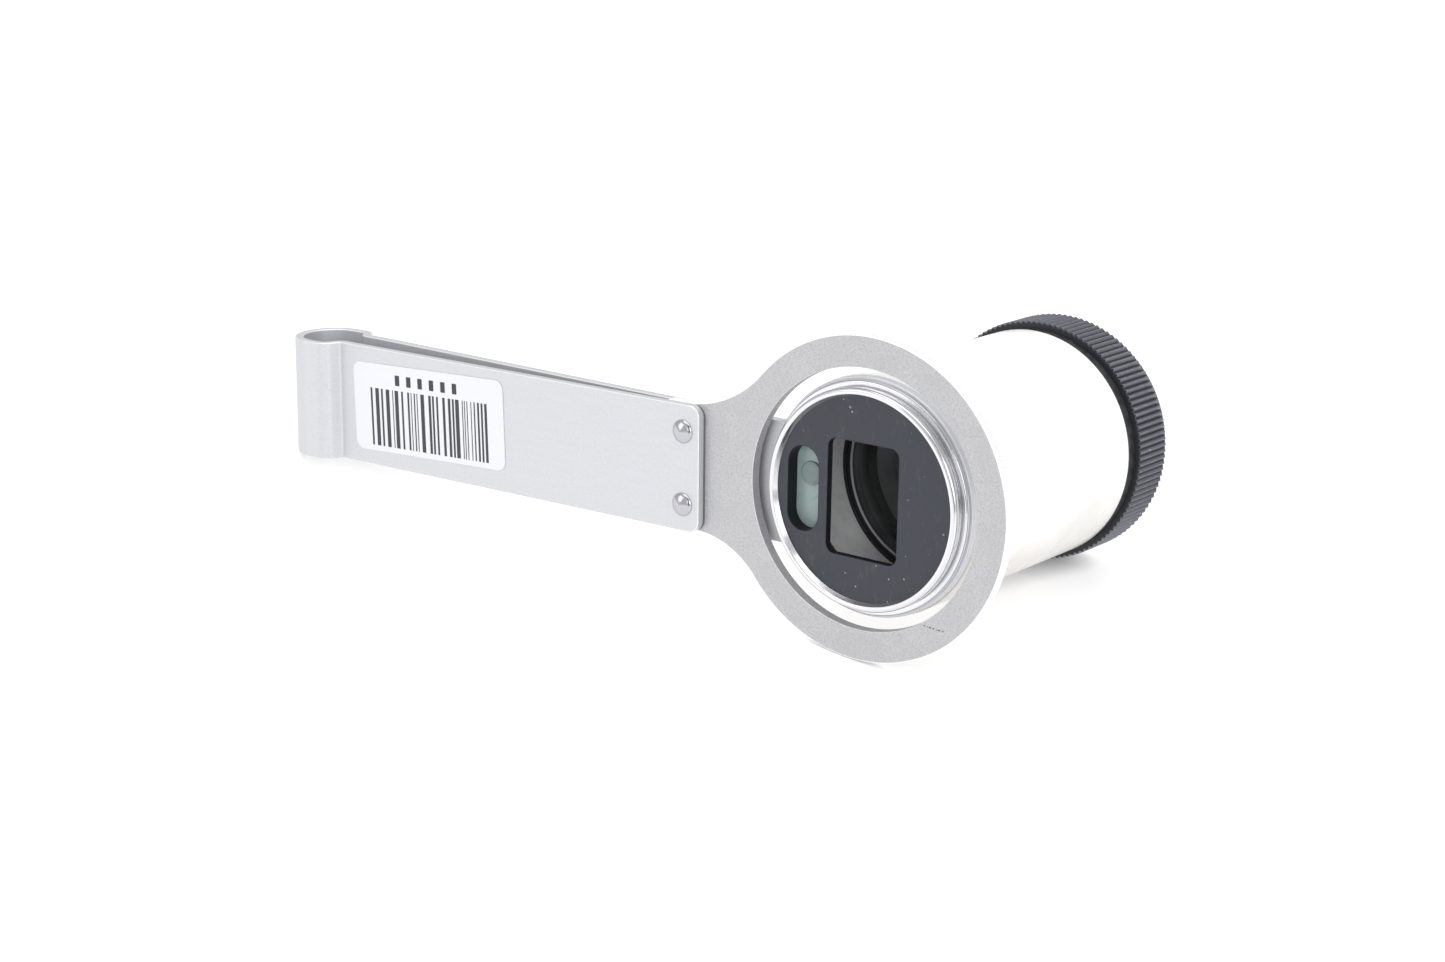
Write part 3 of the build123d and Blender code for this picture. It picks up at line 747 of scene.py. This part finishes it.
RIVET_EDGE = 0.06
NICKS = ((7.15, -10.59, 0.2), (7.5, -10.62, 0.14), (7.75, -10.66, 0.24), (8.12, -10.68, 0.2),
         (8.5, -10.74, 0.15), (8.75, -10.72, 0.24), (9.12, -10.76, 0.2))  # x, z and length of a scratch's marks
NICK_TURN = -5.0
NICK_HEIGHT = 0.006
SHADOW_LINE_SIZE = (2.4, 12.4)  # a painted shadow: a thin dark line round the front arm's end, where it meets the tang
SHADOW_LINE_PLACE = (-19.16, 0)
SHADOW_LINE_HEIGHT = 0.02
SUNK = 0.01  # how far a mark reaches into the surface that it lies on
LABEL_SIZE = (20.6, 9.3)
LABEL_PLACE = (-52.85, 0.28)
LABEL_TURN = 2.0
LABEL_THICKNESS = 0.1
LABEL_CORNER = 1.0
LABEL_EDGE = 0.03
PRINT_HEIGHT = 0.008
BARS_FROM = -7.95
BARS_TO = 8.1
BAR_LOW = -4.05
BAR_HIGH = 2.05
BAR_WIDTHS = (0.12, 0.12, 0.17, 0.26, 0.26, 0.34, 0.5)
BAR_GAPS = (0.17, 0.22, 0.3, 0.3, 0.42, 0.6)
BLOCKS = 6
BLOCK_SIZE = (0.62, 1.1)
BLOCK_FIRST = -4.1
BLOCK_PITCH = 1.58
BLOCK_Z = 3.12


def neck_fillet(radius):
    """Centre of a fillet between the tang's edge and the ring, and its angle seen from the ring's centre."""
    z = STRIP_HEIGHT / 2 + radius
    x = -math.sqrt((RING_OUTER + radius) ** 2 - z ** 2)
    return x, z, math.degrees(math.atan2(z, x))


def ring_plate():
    half = STRIP_HEIGHT / 2
    top_x, top_z, top_meets = neck_fillet(NECK_FILLET_TOP)
    low_x, low_z, low_meets = neck_fillet(NECK_FILLET_LOW)
    tang = line_with_fillets([(top_x, half, 0), (TANG_END_X, half, TANG_CORNER),
                              (TANG_END_X, -half, TANG_CORNER), (low_x, -half, 0)], closed=False)
    outline = chain(
        arc((0, 0), RING_OUTER, -low_meets, top_meets, RING_STEPS),
        arc((top_x, top_z), NECK_FILLET_TOP, top_meets - 180, -90, NECK_TOP_STEPS, inward=True),
        (tang[0][1:-1], tang[1][1:-1]),
        arc((low_x, -low_z), NECK_FILLET_LOW, 90, 180 - low_meets, NECK_LOW_STEPS, inward=True))
    face = FRONT_ARM_BACK_Y
    shell = Shell()
    shell.plate(outline, [circle(RING_HOLE)], face, face + RING_THICKNESS, RING_EDGE, RING_HOLE_EDGE,
                RING_BACK_EDGE, wall_paint=1)
    # painted shadow: a thin dark plate round the front arm's end, in the dark nick material
    shadow_line = rectangle(SHADOW_LINE_SIZE[0], SHADOW_LINE_SIZE[1], FRONT_ARM_CORNER, SHADOW_LINE_PLACE)
    shell.plate(shadow_line, [], face - SHADOW_LINE_HEIGHT, face + SUNK, SHADOW_LINE_HEIGHT / 4, paint=2)
    for x, z, size in NICKS:
        nick = turned_by(rectangle(size, 0.6 * size, 0.2 * size), NICK_TURN, (x, z))
        shell.plate(nick, [], face - NICK_HEIGHT, face + SUNK, NICK_HEIGHT / 2, paint=2)
    make("ring_plate_body", shell, ARM, [BLASTED, CUT_EDGE, NICK_AND_SHADE], "ring_arm",
         ("ring_plate",))


def rivets():
    """Low domed heads, a little pointed, with a shank that shows in the tang's back."""
    head_y = FRONT_ARM_BACK_Y - STRIP_THICKNESS
    tail_y = FRONT_ARM_BACK_Y + RING_THICKNESS + RIVET_TAIL
    dome = []
    for share in np.linspace(0, 1, 17):
        dome_share = RIVET_ROUND_SHARE * math.sqrt(1 - min(share, RIVET_STEEPEST) ** 2)
        rise = RIVET_HEIGHT * (dome_share + (1 - RIVET_ROUND_SHARE) * (1 - share))
        dome.append((RIVET_RADIUS * share, head_y - rise))
    dome.append((RIVET_RADIUS, head_y))
    dome = np.array(dome)
    slope = np.gradient(dome, axis=0)
    facing = np.stack((slope[:, 1], -slope[:, 0]), 1)
    facing[0] = (0, -1)
    facing /= np.linalg.norm(facing, axis=1)[:, None]
    tail = np.array([(RIVET_SHANK, tail_y - 5 * RIVET_EDGE), (RIVET_SHANK, tail_y - RIVET_EDGE),
                     (RIVET_SHANK - RIVET_EDGE, tail_y), (0, tail_y)])
    rivet = Shell()
    rivet.lathe((dome, facing), steps=64)
    rivet.lathe((tail, np.array([(1, 0), (0.7, 0.7), (0.1, 1), (0, 1)])), steps=48)
    shell = Shell()
    for sign in (-1, 1):
        shell.add(rivet, (RIVET_X, 0, sign * RIVET_SPACING / 2))
    make("rivet_heads", shell, ARM, [RIVET], "ring_arm", ("tang_rivets",))


def label():
    """A sheet with bars of random widths, which encode nothing, under a row of plain blocks."""
    front = FRONT_ARM_BACK_Y - STRIP_THICKNESS
    surface = front - LABEL_THICKNESS

    def on_label(outline):
        return turned_by(outline, LABEL_TURN, LABEL_PLACE)

    paper = Shell()
    paper.plate(on_label(rectangle(*LABEL_SIZE, LABEL_CORNER)), [], surface, front, LABEL_EDGE)
    make("label_sheet", paper, ARM, [PAPER], "ring_arm", ("stock_label",))

    printed = []
    dice = random.Random(11)
    x = BARS_FROM
    while x < BARS_TO:
        width = dice.choice(BAR_WIDTHS)
        printed.append(rectangle(width, BAR_HIGH - BAR_LOW, 0.02, (x + width / 2, (BAR_HIGH + BAR_LOW) / 2)))
        x += width + dice.choice(BAR_GAPS)
    for block in range(BLOCKS):
        printed.append(rectangle(*BLOCK_SIZE, 0.08, (BLOCK_FIRST + block * BLOCK_PITCH, BLOCK_Z)))
    ink = Shell()
    for outline in printed:
        ink.plate(on_label(outline), [], surface - PRINT_HEIGHT, surface + SUNK, PRINT_HEIGHT / 2)
    make("label_print", ink, ARM, [INK], "ring_arm")


ring_plate()
rivets()
label()

# ---- film gate and collar ----
GATE_SIZE = (7.9, 11.0)
GATE_CORNER = 0.9
GATE_PLACE = (-0.05, -0.15)
GATE_TURN = -0.4  # degrees, the disc's small turn about the optical axis
GATE_LAND = 0.75  # thickness of the disc's edge round the window
GATE_RELIEF = 0.6  # width of the pocket behind that edge
DISC_RADIUS = 9.85
DISC_FRONT = 0.4  # the disc lies a little behind the collar's rim
DISC_BACK = 1.85
DISC_GAP = 0.01  # between the disc and the collar
DISC_EDGE = 0.05
PANE_MARGIN = 0.05
PANE_THICKNESS = 0.5
SLOT_SIZE = (3.5, 8.16)
SLOT_PLACE = (-6.78, -0.08)
BOSS_RADIUS = 1.15
BOSS_HEIGHT = 0.25
BOSS_Z = 1.1
BOSS_LIP = 0.2  # width of the raised edge round the boss's shallow dish
BOSS_DISH = 0.05
COLLAR_RIM = 10.55
COLLAR_RIM_FRONT = -0.12
COLLAR_MOUTH = 9.97  # the rim slopes in from here to the disc
COLLAR_BEAD_BACK = 0.7
COLLAR_GROOVE = 10.4
COLLAR_STEP_FRONT = 0.95
COLLAR_WALL = 11.1
COLLAR_NECK = 10.5
COLLAR_NECK_BACK = 5.3
COLLAR_BORE = 9.4


def opening(size, corner, place, margin=0.0):
    """The outline of the gate or the slot, a margin larger."""
    box = rectangle(size[0] + 2 * margin, size[1] + 2 * margin, corner + margin, place)
    return turned_by(box, GATE_TURN)


GATE = (GATE_SIZE, GATE_CORNER, GATE_PLACE)
SLOT = (SLOT_SIZE, SLOT_SIZE[0] / 2 - 0.01, SLOT_PLACE)


def gate_disc():
    """The disc; the window has a thin land in front of a wider pocket."""
    shell = Shell()
    land_back = DISC_FRONT + GATE_LAND
    rim = shell.wall(circle(DISC_RADIUS - DISC_GAP), rounded_levels(DISC_FRONT, DISC_BACK, 0.03, 0.03))
    # the slot's and the window's walls take the darker black of painted shade
    slot = shell.wall(hole(opening(*SLOT)), rounded_levels(DISC_FRONT, DISC_BACK, DISC_EDGE, 0.03), paint=1)
    window = shell.wall(hole(opening(*GATE)), rounded_levels(DISC_FRONT, land_back, DISC_EDGE, 0.04), paint=1)
    shell.cap([rim[0], slot[0], window[0]], False)
    relief = hole(opening(*GATE, GATE_RELIEF))
    shell.wall(relief, [(0, land_back, 1, 0, 0), (0, DISC_BACK, 1, 0, 0)])
    ledge = shell.wall(relief, [(0, land_back, 0, 1, 0)])
    shell.between(window[-1], ledge[0])
    backs = shell.wall(relief, [(0, DISC_BACK, 0, 1, 0)])
    shell.cap([rim[-1], slot[-1], backs[0]], True)
    make("gate_disc_body", shell, LOUPE, [DISC, DISC_WALL_SHADE], "loupe", ("gate_disc",))


def slot_pane():
    """The green pane behind the slot, with a round boss whose front is a little dished."""
    shell = Shell()
    shell.plate(opening(*SLOT, PANE_MARGIN), [], DISC_BACK + 0.005, DISC_BACK + PANE_THICKNESS, 0.03)
    top = DISC_BACK - BOSS_HEIGHT
    boss = Shell()
    # the boss takes the darker green of painted shade
    boss.skin([(0, top + BOSS_DISH + 0.01, 0), (BOSS_RADIUS - BOSS_LIP - 0.08, top + BOSS_DISH, 0.2),
               (BOSS_RADIUS - BOSS_LIP, top, 0.1), (BOSS_RADIUS, top, 0.1),
               (BOSS_RADIUS, DISC_BACK + 0.2, 0)], paint=1, steps=72)
    centre = turned_by((np.array([(SLOT_PLACE[0], BOSS_Z)]), np.zeros((1, 2))), GATE_TURN)[0][0]
    shell.add(boss, (centre[0], 0, centre[1]))
    make("slot_pane", shell, LOUPE, [PANE, SHADED_BOSS], "loupe", ("slot_insert",))


def gate_collar():
    """A rounded rim, a groove and a step inside the ring plate, and a neck in the barrel."""
    shell = Shell()
    shell.turned([
        (COLLAR_MOUTH, COLLAR_RIM_FRONT, 0.12), (COLLAR_RIM, COLLAR_RIM_FRONT, 0.36),
        (COLLAR_RIM, COLLAR_BEAD_BACK, 0.16), (COLLAR_GROOVE, COLLAR_BEAD_BACK + 0.02, 0.03),
        (COLLAR_GROOVE, COLLAR_STEP_FRONT, 0.03), (COLLAR_WALL, COLLAR_STEP_FRONT, 0.25),
        (COLLAR_WALL, REAR_FACE_Y, 0.02), (COLLAR_NECK, REAR_FACE_Y, 0.02),
        (COLLAR_NECK, COLLAR_NECK_BACK, 0.1), (COLLAR_BORE, COLLAR_NECK_BACK, 0.1),
        (COLLAR_BORE, DISC_BACK, 0.02), (DISC_RADIUS, DISC_BACK, 0.01), (DISC_RADIUS, DISC_FRONT, 0.01),
        (DISC_RADIUS - 0.15, DISC_FRONT - 0.02, 0.01)], steps=FINE_TURNS)
    make("collar_body", shell, LOUPE, [POLISHED], "loupe", ("gate_collar",))


gate_disc()
slot_pane()
gate_collar()

# ---- barrel, lens cell and focus ring ----
BARREL_RADIUS = 11.44
BARREL_FRONT = REAR_FACE_Y + STRIP_THICKNESS
BARREL_BACK = 29.0
BARREL_BORE = 10.1
NECK_RADIUS = 10.75
NECK_BACK = 33.0
TUBE_FRONT = 11.3
FRONT_LENS_RADIUS = 9.65
RETAINER_FRONT = TUBE_FRONT + 0.1
RETAINER_THICKNESS = 0.6
RETAINER_OPENING = 9.1
RETAINER_CHAMFER = 0.16
LENS_CURVE = 62.0  # radii of the lenses' spherical faces
FLAT_CURVE = 160.0
FRONT_LENS = (12.15, 18.2)  # Y of a lens pair's two edges
EYE_LENS_RADIUS = 9.2
EYE_LENS = (25.2, 31.8)
LENS_GAP = 0.02  # between a lens and its seat
LENS_BEVEL = 0.12
LENS_TURNS = 160
RING_FRONT = 29.1
KNURL_FRONT = 30.15
RING_BACK = 35.35
RING_COLLAR = 11.3
RING_BORE = 10.8
KNURL_TIP = 12.12
KNURL_ROOT = 11.82
KNURL_COUNT = 120
KNURL_BEVEL = 0.4
KNURL_CREST = (KNURL_TIP + 0.01, 0.035)  # radius of the corner before its fillet, and the fillet
KNURL_VALLEY = (KNURL_ROOT, 0.02)
KNURL_EDGE = 0.04
KNURL_OVERLAP = 0.3  # how far the plain collar reaches into the band
BEVEL_EDGE_VALUE = 0.75  # edge values from the bevel's ridges to its foot; they set its chips and keep it out of the valleys' painted shade
BEVEL_FOOT_EDGE_VALUE = 0.6
CAP_FRONT = 34.1
CAP_FLAT = 0.5  # depth of the cap's opening before it widens to its mouth
CAP_RADIUS = 11.4
CAP_BACK = 36.35
CAP_OPENING = 8.6
CAP_MOUTH = 10.3


def barrel():
    shell = Shell()
    shell.skin([
        (COLLAR_NECK, BARREL_FRONT, 0), (BARREL_RADIUS, BARREL_FRONT, 0.2), (BARREL_RADIUS, BARREL_BACK, 0.2),
        (NECK_RADIUS, BARREL_BACK, 0.02), (NECK_RADIUS, NECK_BACK, 0.1), (BARREL_BORE, NECK_BACK, 0)],
        steps=FINE_TURNS)
    shell.skin([
        (BARREL_BORE, NECK_BACK, 0), (BARREL_BORE, COLLAR_NECK_BACK, 0.02),
        (COLLAR_NECK, COLLAR_NECK_BACK, 0.02), (COLLAR_NECK, BARREL_FRONT, 0)], paint=1)
    make("barrel_shell", shell, LOUPE, [WHITE, INSIDE], "loupe", ("barrel",))


def lens(name, radius, front, back, nodes):
    """A cemented pair with a black rim; front and back are (edge y, radius of the surface)."""
    flat = radius - LENS_BEVEL
    rings = np.linspace(0, flat, 25)

    def surface(edge_y, curve, facing):
        """Rings on a sphere, facing along facing * Y; a positive curve's middle is nearer -Y."""
        sign = 1 if curve > 0 else -1
        sphere = abs(curve)
        depths = np.sqrt(sphere ** 2 - rings ** 2)
        heights = edge_y + sign * (depths[-1] - depths)
        outward = -facing * sign * rings / sphere
        return np.stack((rings, heights), 1), np.stack((outward, np.full(len(rings), float(facing))), 1)

    back_face = surface(*back, 1)
    rim = (np.array([(flat, front[0]), (radius, front[0] + LENS_BEVEL), (radius, back[0] - LENS_BEVEL),
                     (flat, back[0])]),
           np.array([(0.7, -0.7), (1.0, 0.0), (1.0, 0.0), (0.7, 0.7)]))
    shell = Shell()
    shell.lathe(surface(*front, -1), steps=LENS_TURNS)
    shell.lathe(rim, paint=1, steps=LENS_TURNS)
    shell.lathe((back_face[0][::-1], back_face[1][::-1]), steps=LENS_TURNS)
    make(name, shell, LOUPE, [GLASS, TUBE], "lens_cell", nodes)


def front_retainer():
    """A thin black ring whose inner front edge is chamfered and painted pale, partly as rubbing and partly as a
    painted highlight.
    """
    back = RETAINER_FRONT + RETAINER_THICKNESS
    chamfer_outer = (RETAINER_OPENING + RETAINER_CHAMFER, RETAINER_FRONT)
    chamfer_inner = (RETAINER_OPENING, RETAINER_FRONT + RETAINER_CHAMFER)
    shell = Shell()
    shell.skin([(*chamfer_outer, 0), (FRONT_LENS_RADIUS, RETAINER_FRONT, 0.02),
                (FRONT_LENS_RADIUS, back, 0.02), (RETAINER_OPENING, back, 0.05), (*chamfer_inner, 0)])
    # the chamfer is pale, partly rubbed and partly a painted highlight
    shell.skin([(*chamfer_inner, 0), (*chamfer_outer, 0)], paint=1)
    make("front_retainer", shell, LOUPE, [TUBE, RUBBED_AND_HIGHLIT], "lens_cell", ("front_lens_ring",))


def focus_ring():
    """A ridged band whose rear edge is bevelled through the ridges, on a plain collar."""
    corners = []
    for index in range(2 * KNURL_COUNT):
        angle = math.pi * index / KNURL_COUNT
        radius, fillet = KNURL_VALLEY if index % 2 else KNURL_CREST
        corners.append((radius * math.cos(angle), radius * math.sin(angle), fillet))
    ridges, facing = line_with_fillets(corners)
    shell = Shell()
    radii = np.linalg.norm(ridges, axis=1)
    away = ridges / radii[:, None]
    rear = KNURL_TIP - KNURL_BEVEL
    bevel_y = RING_BACK + rear - radii
    height = np.clip((radii - KNURL_ROOT) / (KNURL_TIP - KNURL_ROOT), 0, 1)
    front_levels = rounded_levels(KNURL_FRONT, RING_BACK, KNURL_EDGE, 0)
    front = shell.wall((ridges, facing), front_levels[:len(front_levels) // 2])
    # On the ridges the edge value is their height, which sets the painted shade in the valleys as well as the
    # chips.
    for ring in front:
        for vertex, share in zip(ring, height):
            shell.edges[vertex] = share
    flank = shell.ring((ridges, facing), 0, bevel_y, 1, 0, height)
    shell.between(front[-1], flank)
    slope = shell.ring((ridges, away), 0, bevel_y, 1, 1, BEVEL_EDGE_VALUE)
    foot = shell.ring((away * rear, away), 0, RING_BACK, 1, 1, BEVEL_FOOT_EDGE_VALUE)
    shell.between(slope, foot)
    back = shell.ring((away * rear, away), 0, RING_BACK, 0, 1, 0)
    bore = shell.wall(hole(circle(RING_BORE)),
                      rounded_levels(KNURL_FRONT, RING_BACK, KNURL_EDGE, KNURL_EDGE), paint=1)
    shell.cap([front[0], bore[0]], False, paint=1)
    shell.cap([back, bore[-1]], True, paint=1)
    shell.turned([
        (RING_BORE, RING_FRONT, 0.03), (RING_COLLAR, RING_FRONT, 0.12),
        (RING_COLLAR, KNURL_FRONT + KNURL_OVERLAP, 0.02),
        (RING_BORE, KNURL_FRONT + KNURL_OVERLAP, 0.02)], paint=1)
    make("focus_ring_body", shell, LOUPE, [KNURL, GROOVE], "focusing_ring",
         ("focus_ring",))


def eyepiece_cap():
    """A cap whose face is dished from its mouth down to its opening."""
    shell = Shell()
    shell.turned([
        (CAP_OPENING, CAP_FRONT, 0.02), (RING_BORE, CAP_FRONT, 0.02), (RING_BORE, RING_BACK, 0.02),
        (CAP_RADIUS, RING_BACK, 0.02), (CAP_RADIUS, CAP_BACK, 0.35), (CAP_MOUTH, CAP_BACK, 0.2),
        (CAP_OPENING, CAP_FRONT + CAP_FLAT, 0.08)])
    make("eyepiece_cap_body", shell, LOUPE, [CAP], "focusing_ring", ("eyepiece_cap",))


barrel()
lens("front_doublet", FRONT_LENS_RADIUS - LENS_GAP, (FRONT_LENS[0], LENS_CURVE), (FRONT_LENS[1], FLAT_CURVE),
     ("front_crown_lens", "front_flint_lens"))
lens("eye_doublet", EYE_LENS_RADIUS - LENS_GAP, (EYE_LENS[0], -FLAT_CURVE), (EYE_LENS[1], -LENS_CURVE),
     ("eye_flint_lens", "eye_crown_lens"))
front_retainer()
focus_ring()
eyepiece_cap()
for node, material in (("lens_tube", TUBE_CAD), ("lens_spacer", TUBE_CAD), ("eye_lens_ring", TUBE_CAD),
                       ("guide_key", BRASS)):
    mesh = frame["nodes"][node].data
    mesh.materials.clear()
    mesh.materials.append(material)

# ---- camera ----
CAMERA_PLACE = Vector((137.62, -195.84, 65.16))
CAMERA_HEADING = 38.11  # degrees from straight at the gate, round to the barrel's side
CAMERA_DIP = 14.85
CAMERA_ROLL = 0.57
CAMERA_LENS = 67.46
SENSOR_WIDTH = 36.0
camera_data = bpy.data.cameras.new("camera")
camera_data.lens = CAMERA_LENS
camera_data.sensor_width = SENSOR_WIDTH
camera_data.clip_start = 0.01
camera_data.clip_end = 20.0
camera = add_object("camera", camera_data)
aim = (Matrix.Rotation(math.radians(CAMERA_HEADING), 4, "Z")
       @ Matrix.Rotation(math.radians(90 - CAMERA_DIP), 4, "X")
       @ Matrix.Rotation(math.radians(CAMERA_ROLL), 4, "Z"))
camera.matrix_world = Matrix.Translation(LOUPE @ CAMERA_PLACE) @ AXES @ aim
bpy.context.scene.camera = camera

# ---- floor and light ----
FLOOR_REACH = 4.0  # metres, like everything in this section
FLOOR_COLOUR = (0.42, 0.42, 0.425, 1)
SHADOW_REACH = 0.0035  # the floor is darker this near to the loupe
SHADOW_GLOW = 0.14
OPEN_GLOW = 0.68
WORLD_STRENGTH = 0.72
LIGHTS_LOOK_AT = Vector((0, 0, 0.01))
CARD_SIZE = (0.1, 0.3)
CARD_BEHIND = 0.03
CARD_COLOUR = (0.02, 0.024, 0.045, 1)


def sheet(name, half_width, half_height, z, colour):
    """A flat rectangle with a material of its own."""
    mesh = bpy.data.meshes.new(name)
    corners = [(a * half_width, b * half_height, z) for a, b in ((-1, -1), (1, -1), (1, 1), (-1, 1))]
    mesh.from_pydata(corners, [], [(0, 1, 2, 3)])
    material = bpy.data.materials.new(name)
    material.use_nodes = True
    set_inputs(material.node_tree.nodes["Principled BSDF"], Base_Color=colour)
    mesh.materials.append(material)
    return add_object(name, mesh)


# The floor glows to white, so that only a contact shadow is left, and that shadow is painted: an ambient-occlusion
# mask dims the glow close to the loupe.
floor = sheet("floor", FLOOR_REACH, FLOOR_REACH, 0, FLOOR_COLOUR)
floor_tree = floor.data.materials[0].node_tree
floor_shader = floor_tree.nodes["Principled BSDF"]
set_inputs(floor_shader, Roughness=0.35, Emission_Color=(1, 1, 1, 1))
nearness = floor_tree.nodes.new("ShaderNodeAmbientOcclusion")
set_inputs(nearness, Distance=SHADOW_REACH)
glow = floor_tree.nodes.new("ShaderNodeMapRange")
set_inputs(glow, From_Min=0.05, From_Max=0.56, To_Min=SHADOW_GLOW, To_Max=OPEN_GLOW)
floor_tree.links.new(nearness.outputs["AO"], glow.inputs["Value"])
floor_tree.links.new(glow.outputs["Result"], floor_shader.inputs["Emission Strength"])

world = bpy.data.worlds.new("studio")
world.use_nodes = True
set_inputs(world.node_tree.nodes["Background"], Color=(1, 1, 1, 1), Strength=WORLD_STRENGTH)
bpy.context.scene.world = world


def softbox(name, place, size, power):
    """A square area light of so many watts that looks at the loupe's middle."""
    data = bpy.data.lights.new(name, "AREA")
    data.size = size
    data.energy = power
    lamp = add_object(name, data)
    lamp.location = place
    lamp.rotation_euler = (LIGHTS_LOOK_AT - Vector(place)).to_track_quat("-Z", "Y").to_euler()


softbox("overhead", (-0.05, 0.1, 0.8), 0.9, 3.8)
softbox("left_key", (-0.5, -0.7, 0.42), 0.5, 1.0)
softbox("right_fill", (0.8, -0.3, 0.4), 0.5, 1.3)
softbox("front_fill", (0.35, -0.48, 0.3), 0.3, 0.9)

# A dark card behind the camera, which the polished collar and the rivets mirror.
card = sheet("dark_card", CARD_SIZE[0] / 2, CARD_SIZE[1] / 2, CARD_BEHIND, CARD_COLOUR)
card.matrix_world = camera.matrix_world
card.visible_diffuse = False
card.visible_shadow = False
card.visible_camera = False

view = bpy.context.scene.view_settings
view.view_transform = "Standard"
view.look = "None"
view.exposure = 0.0
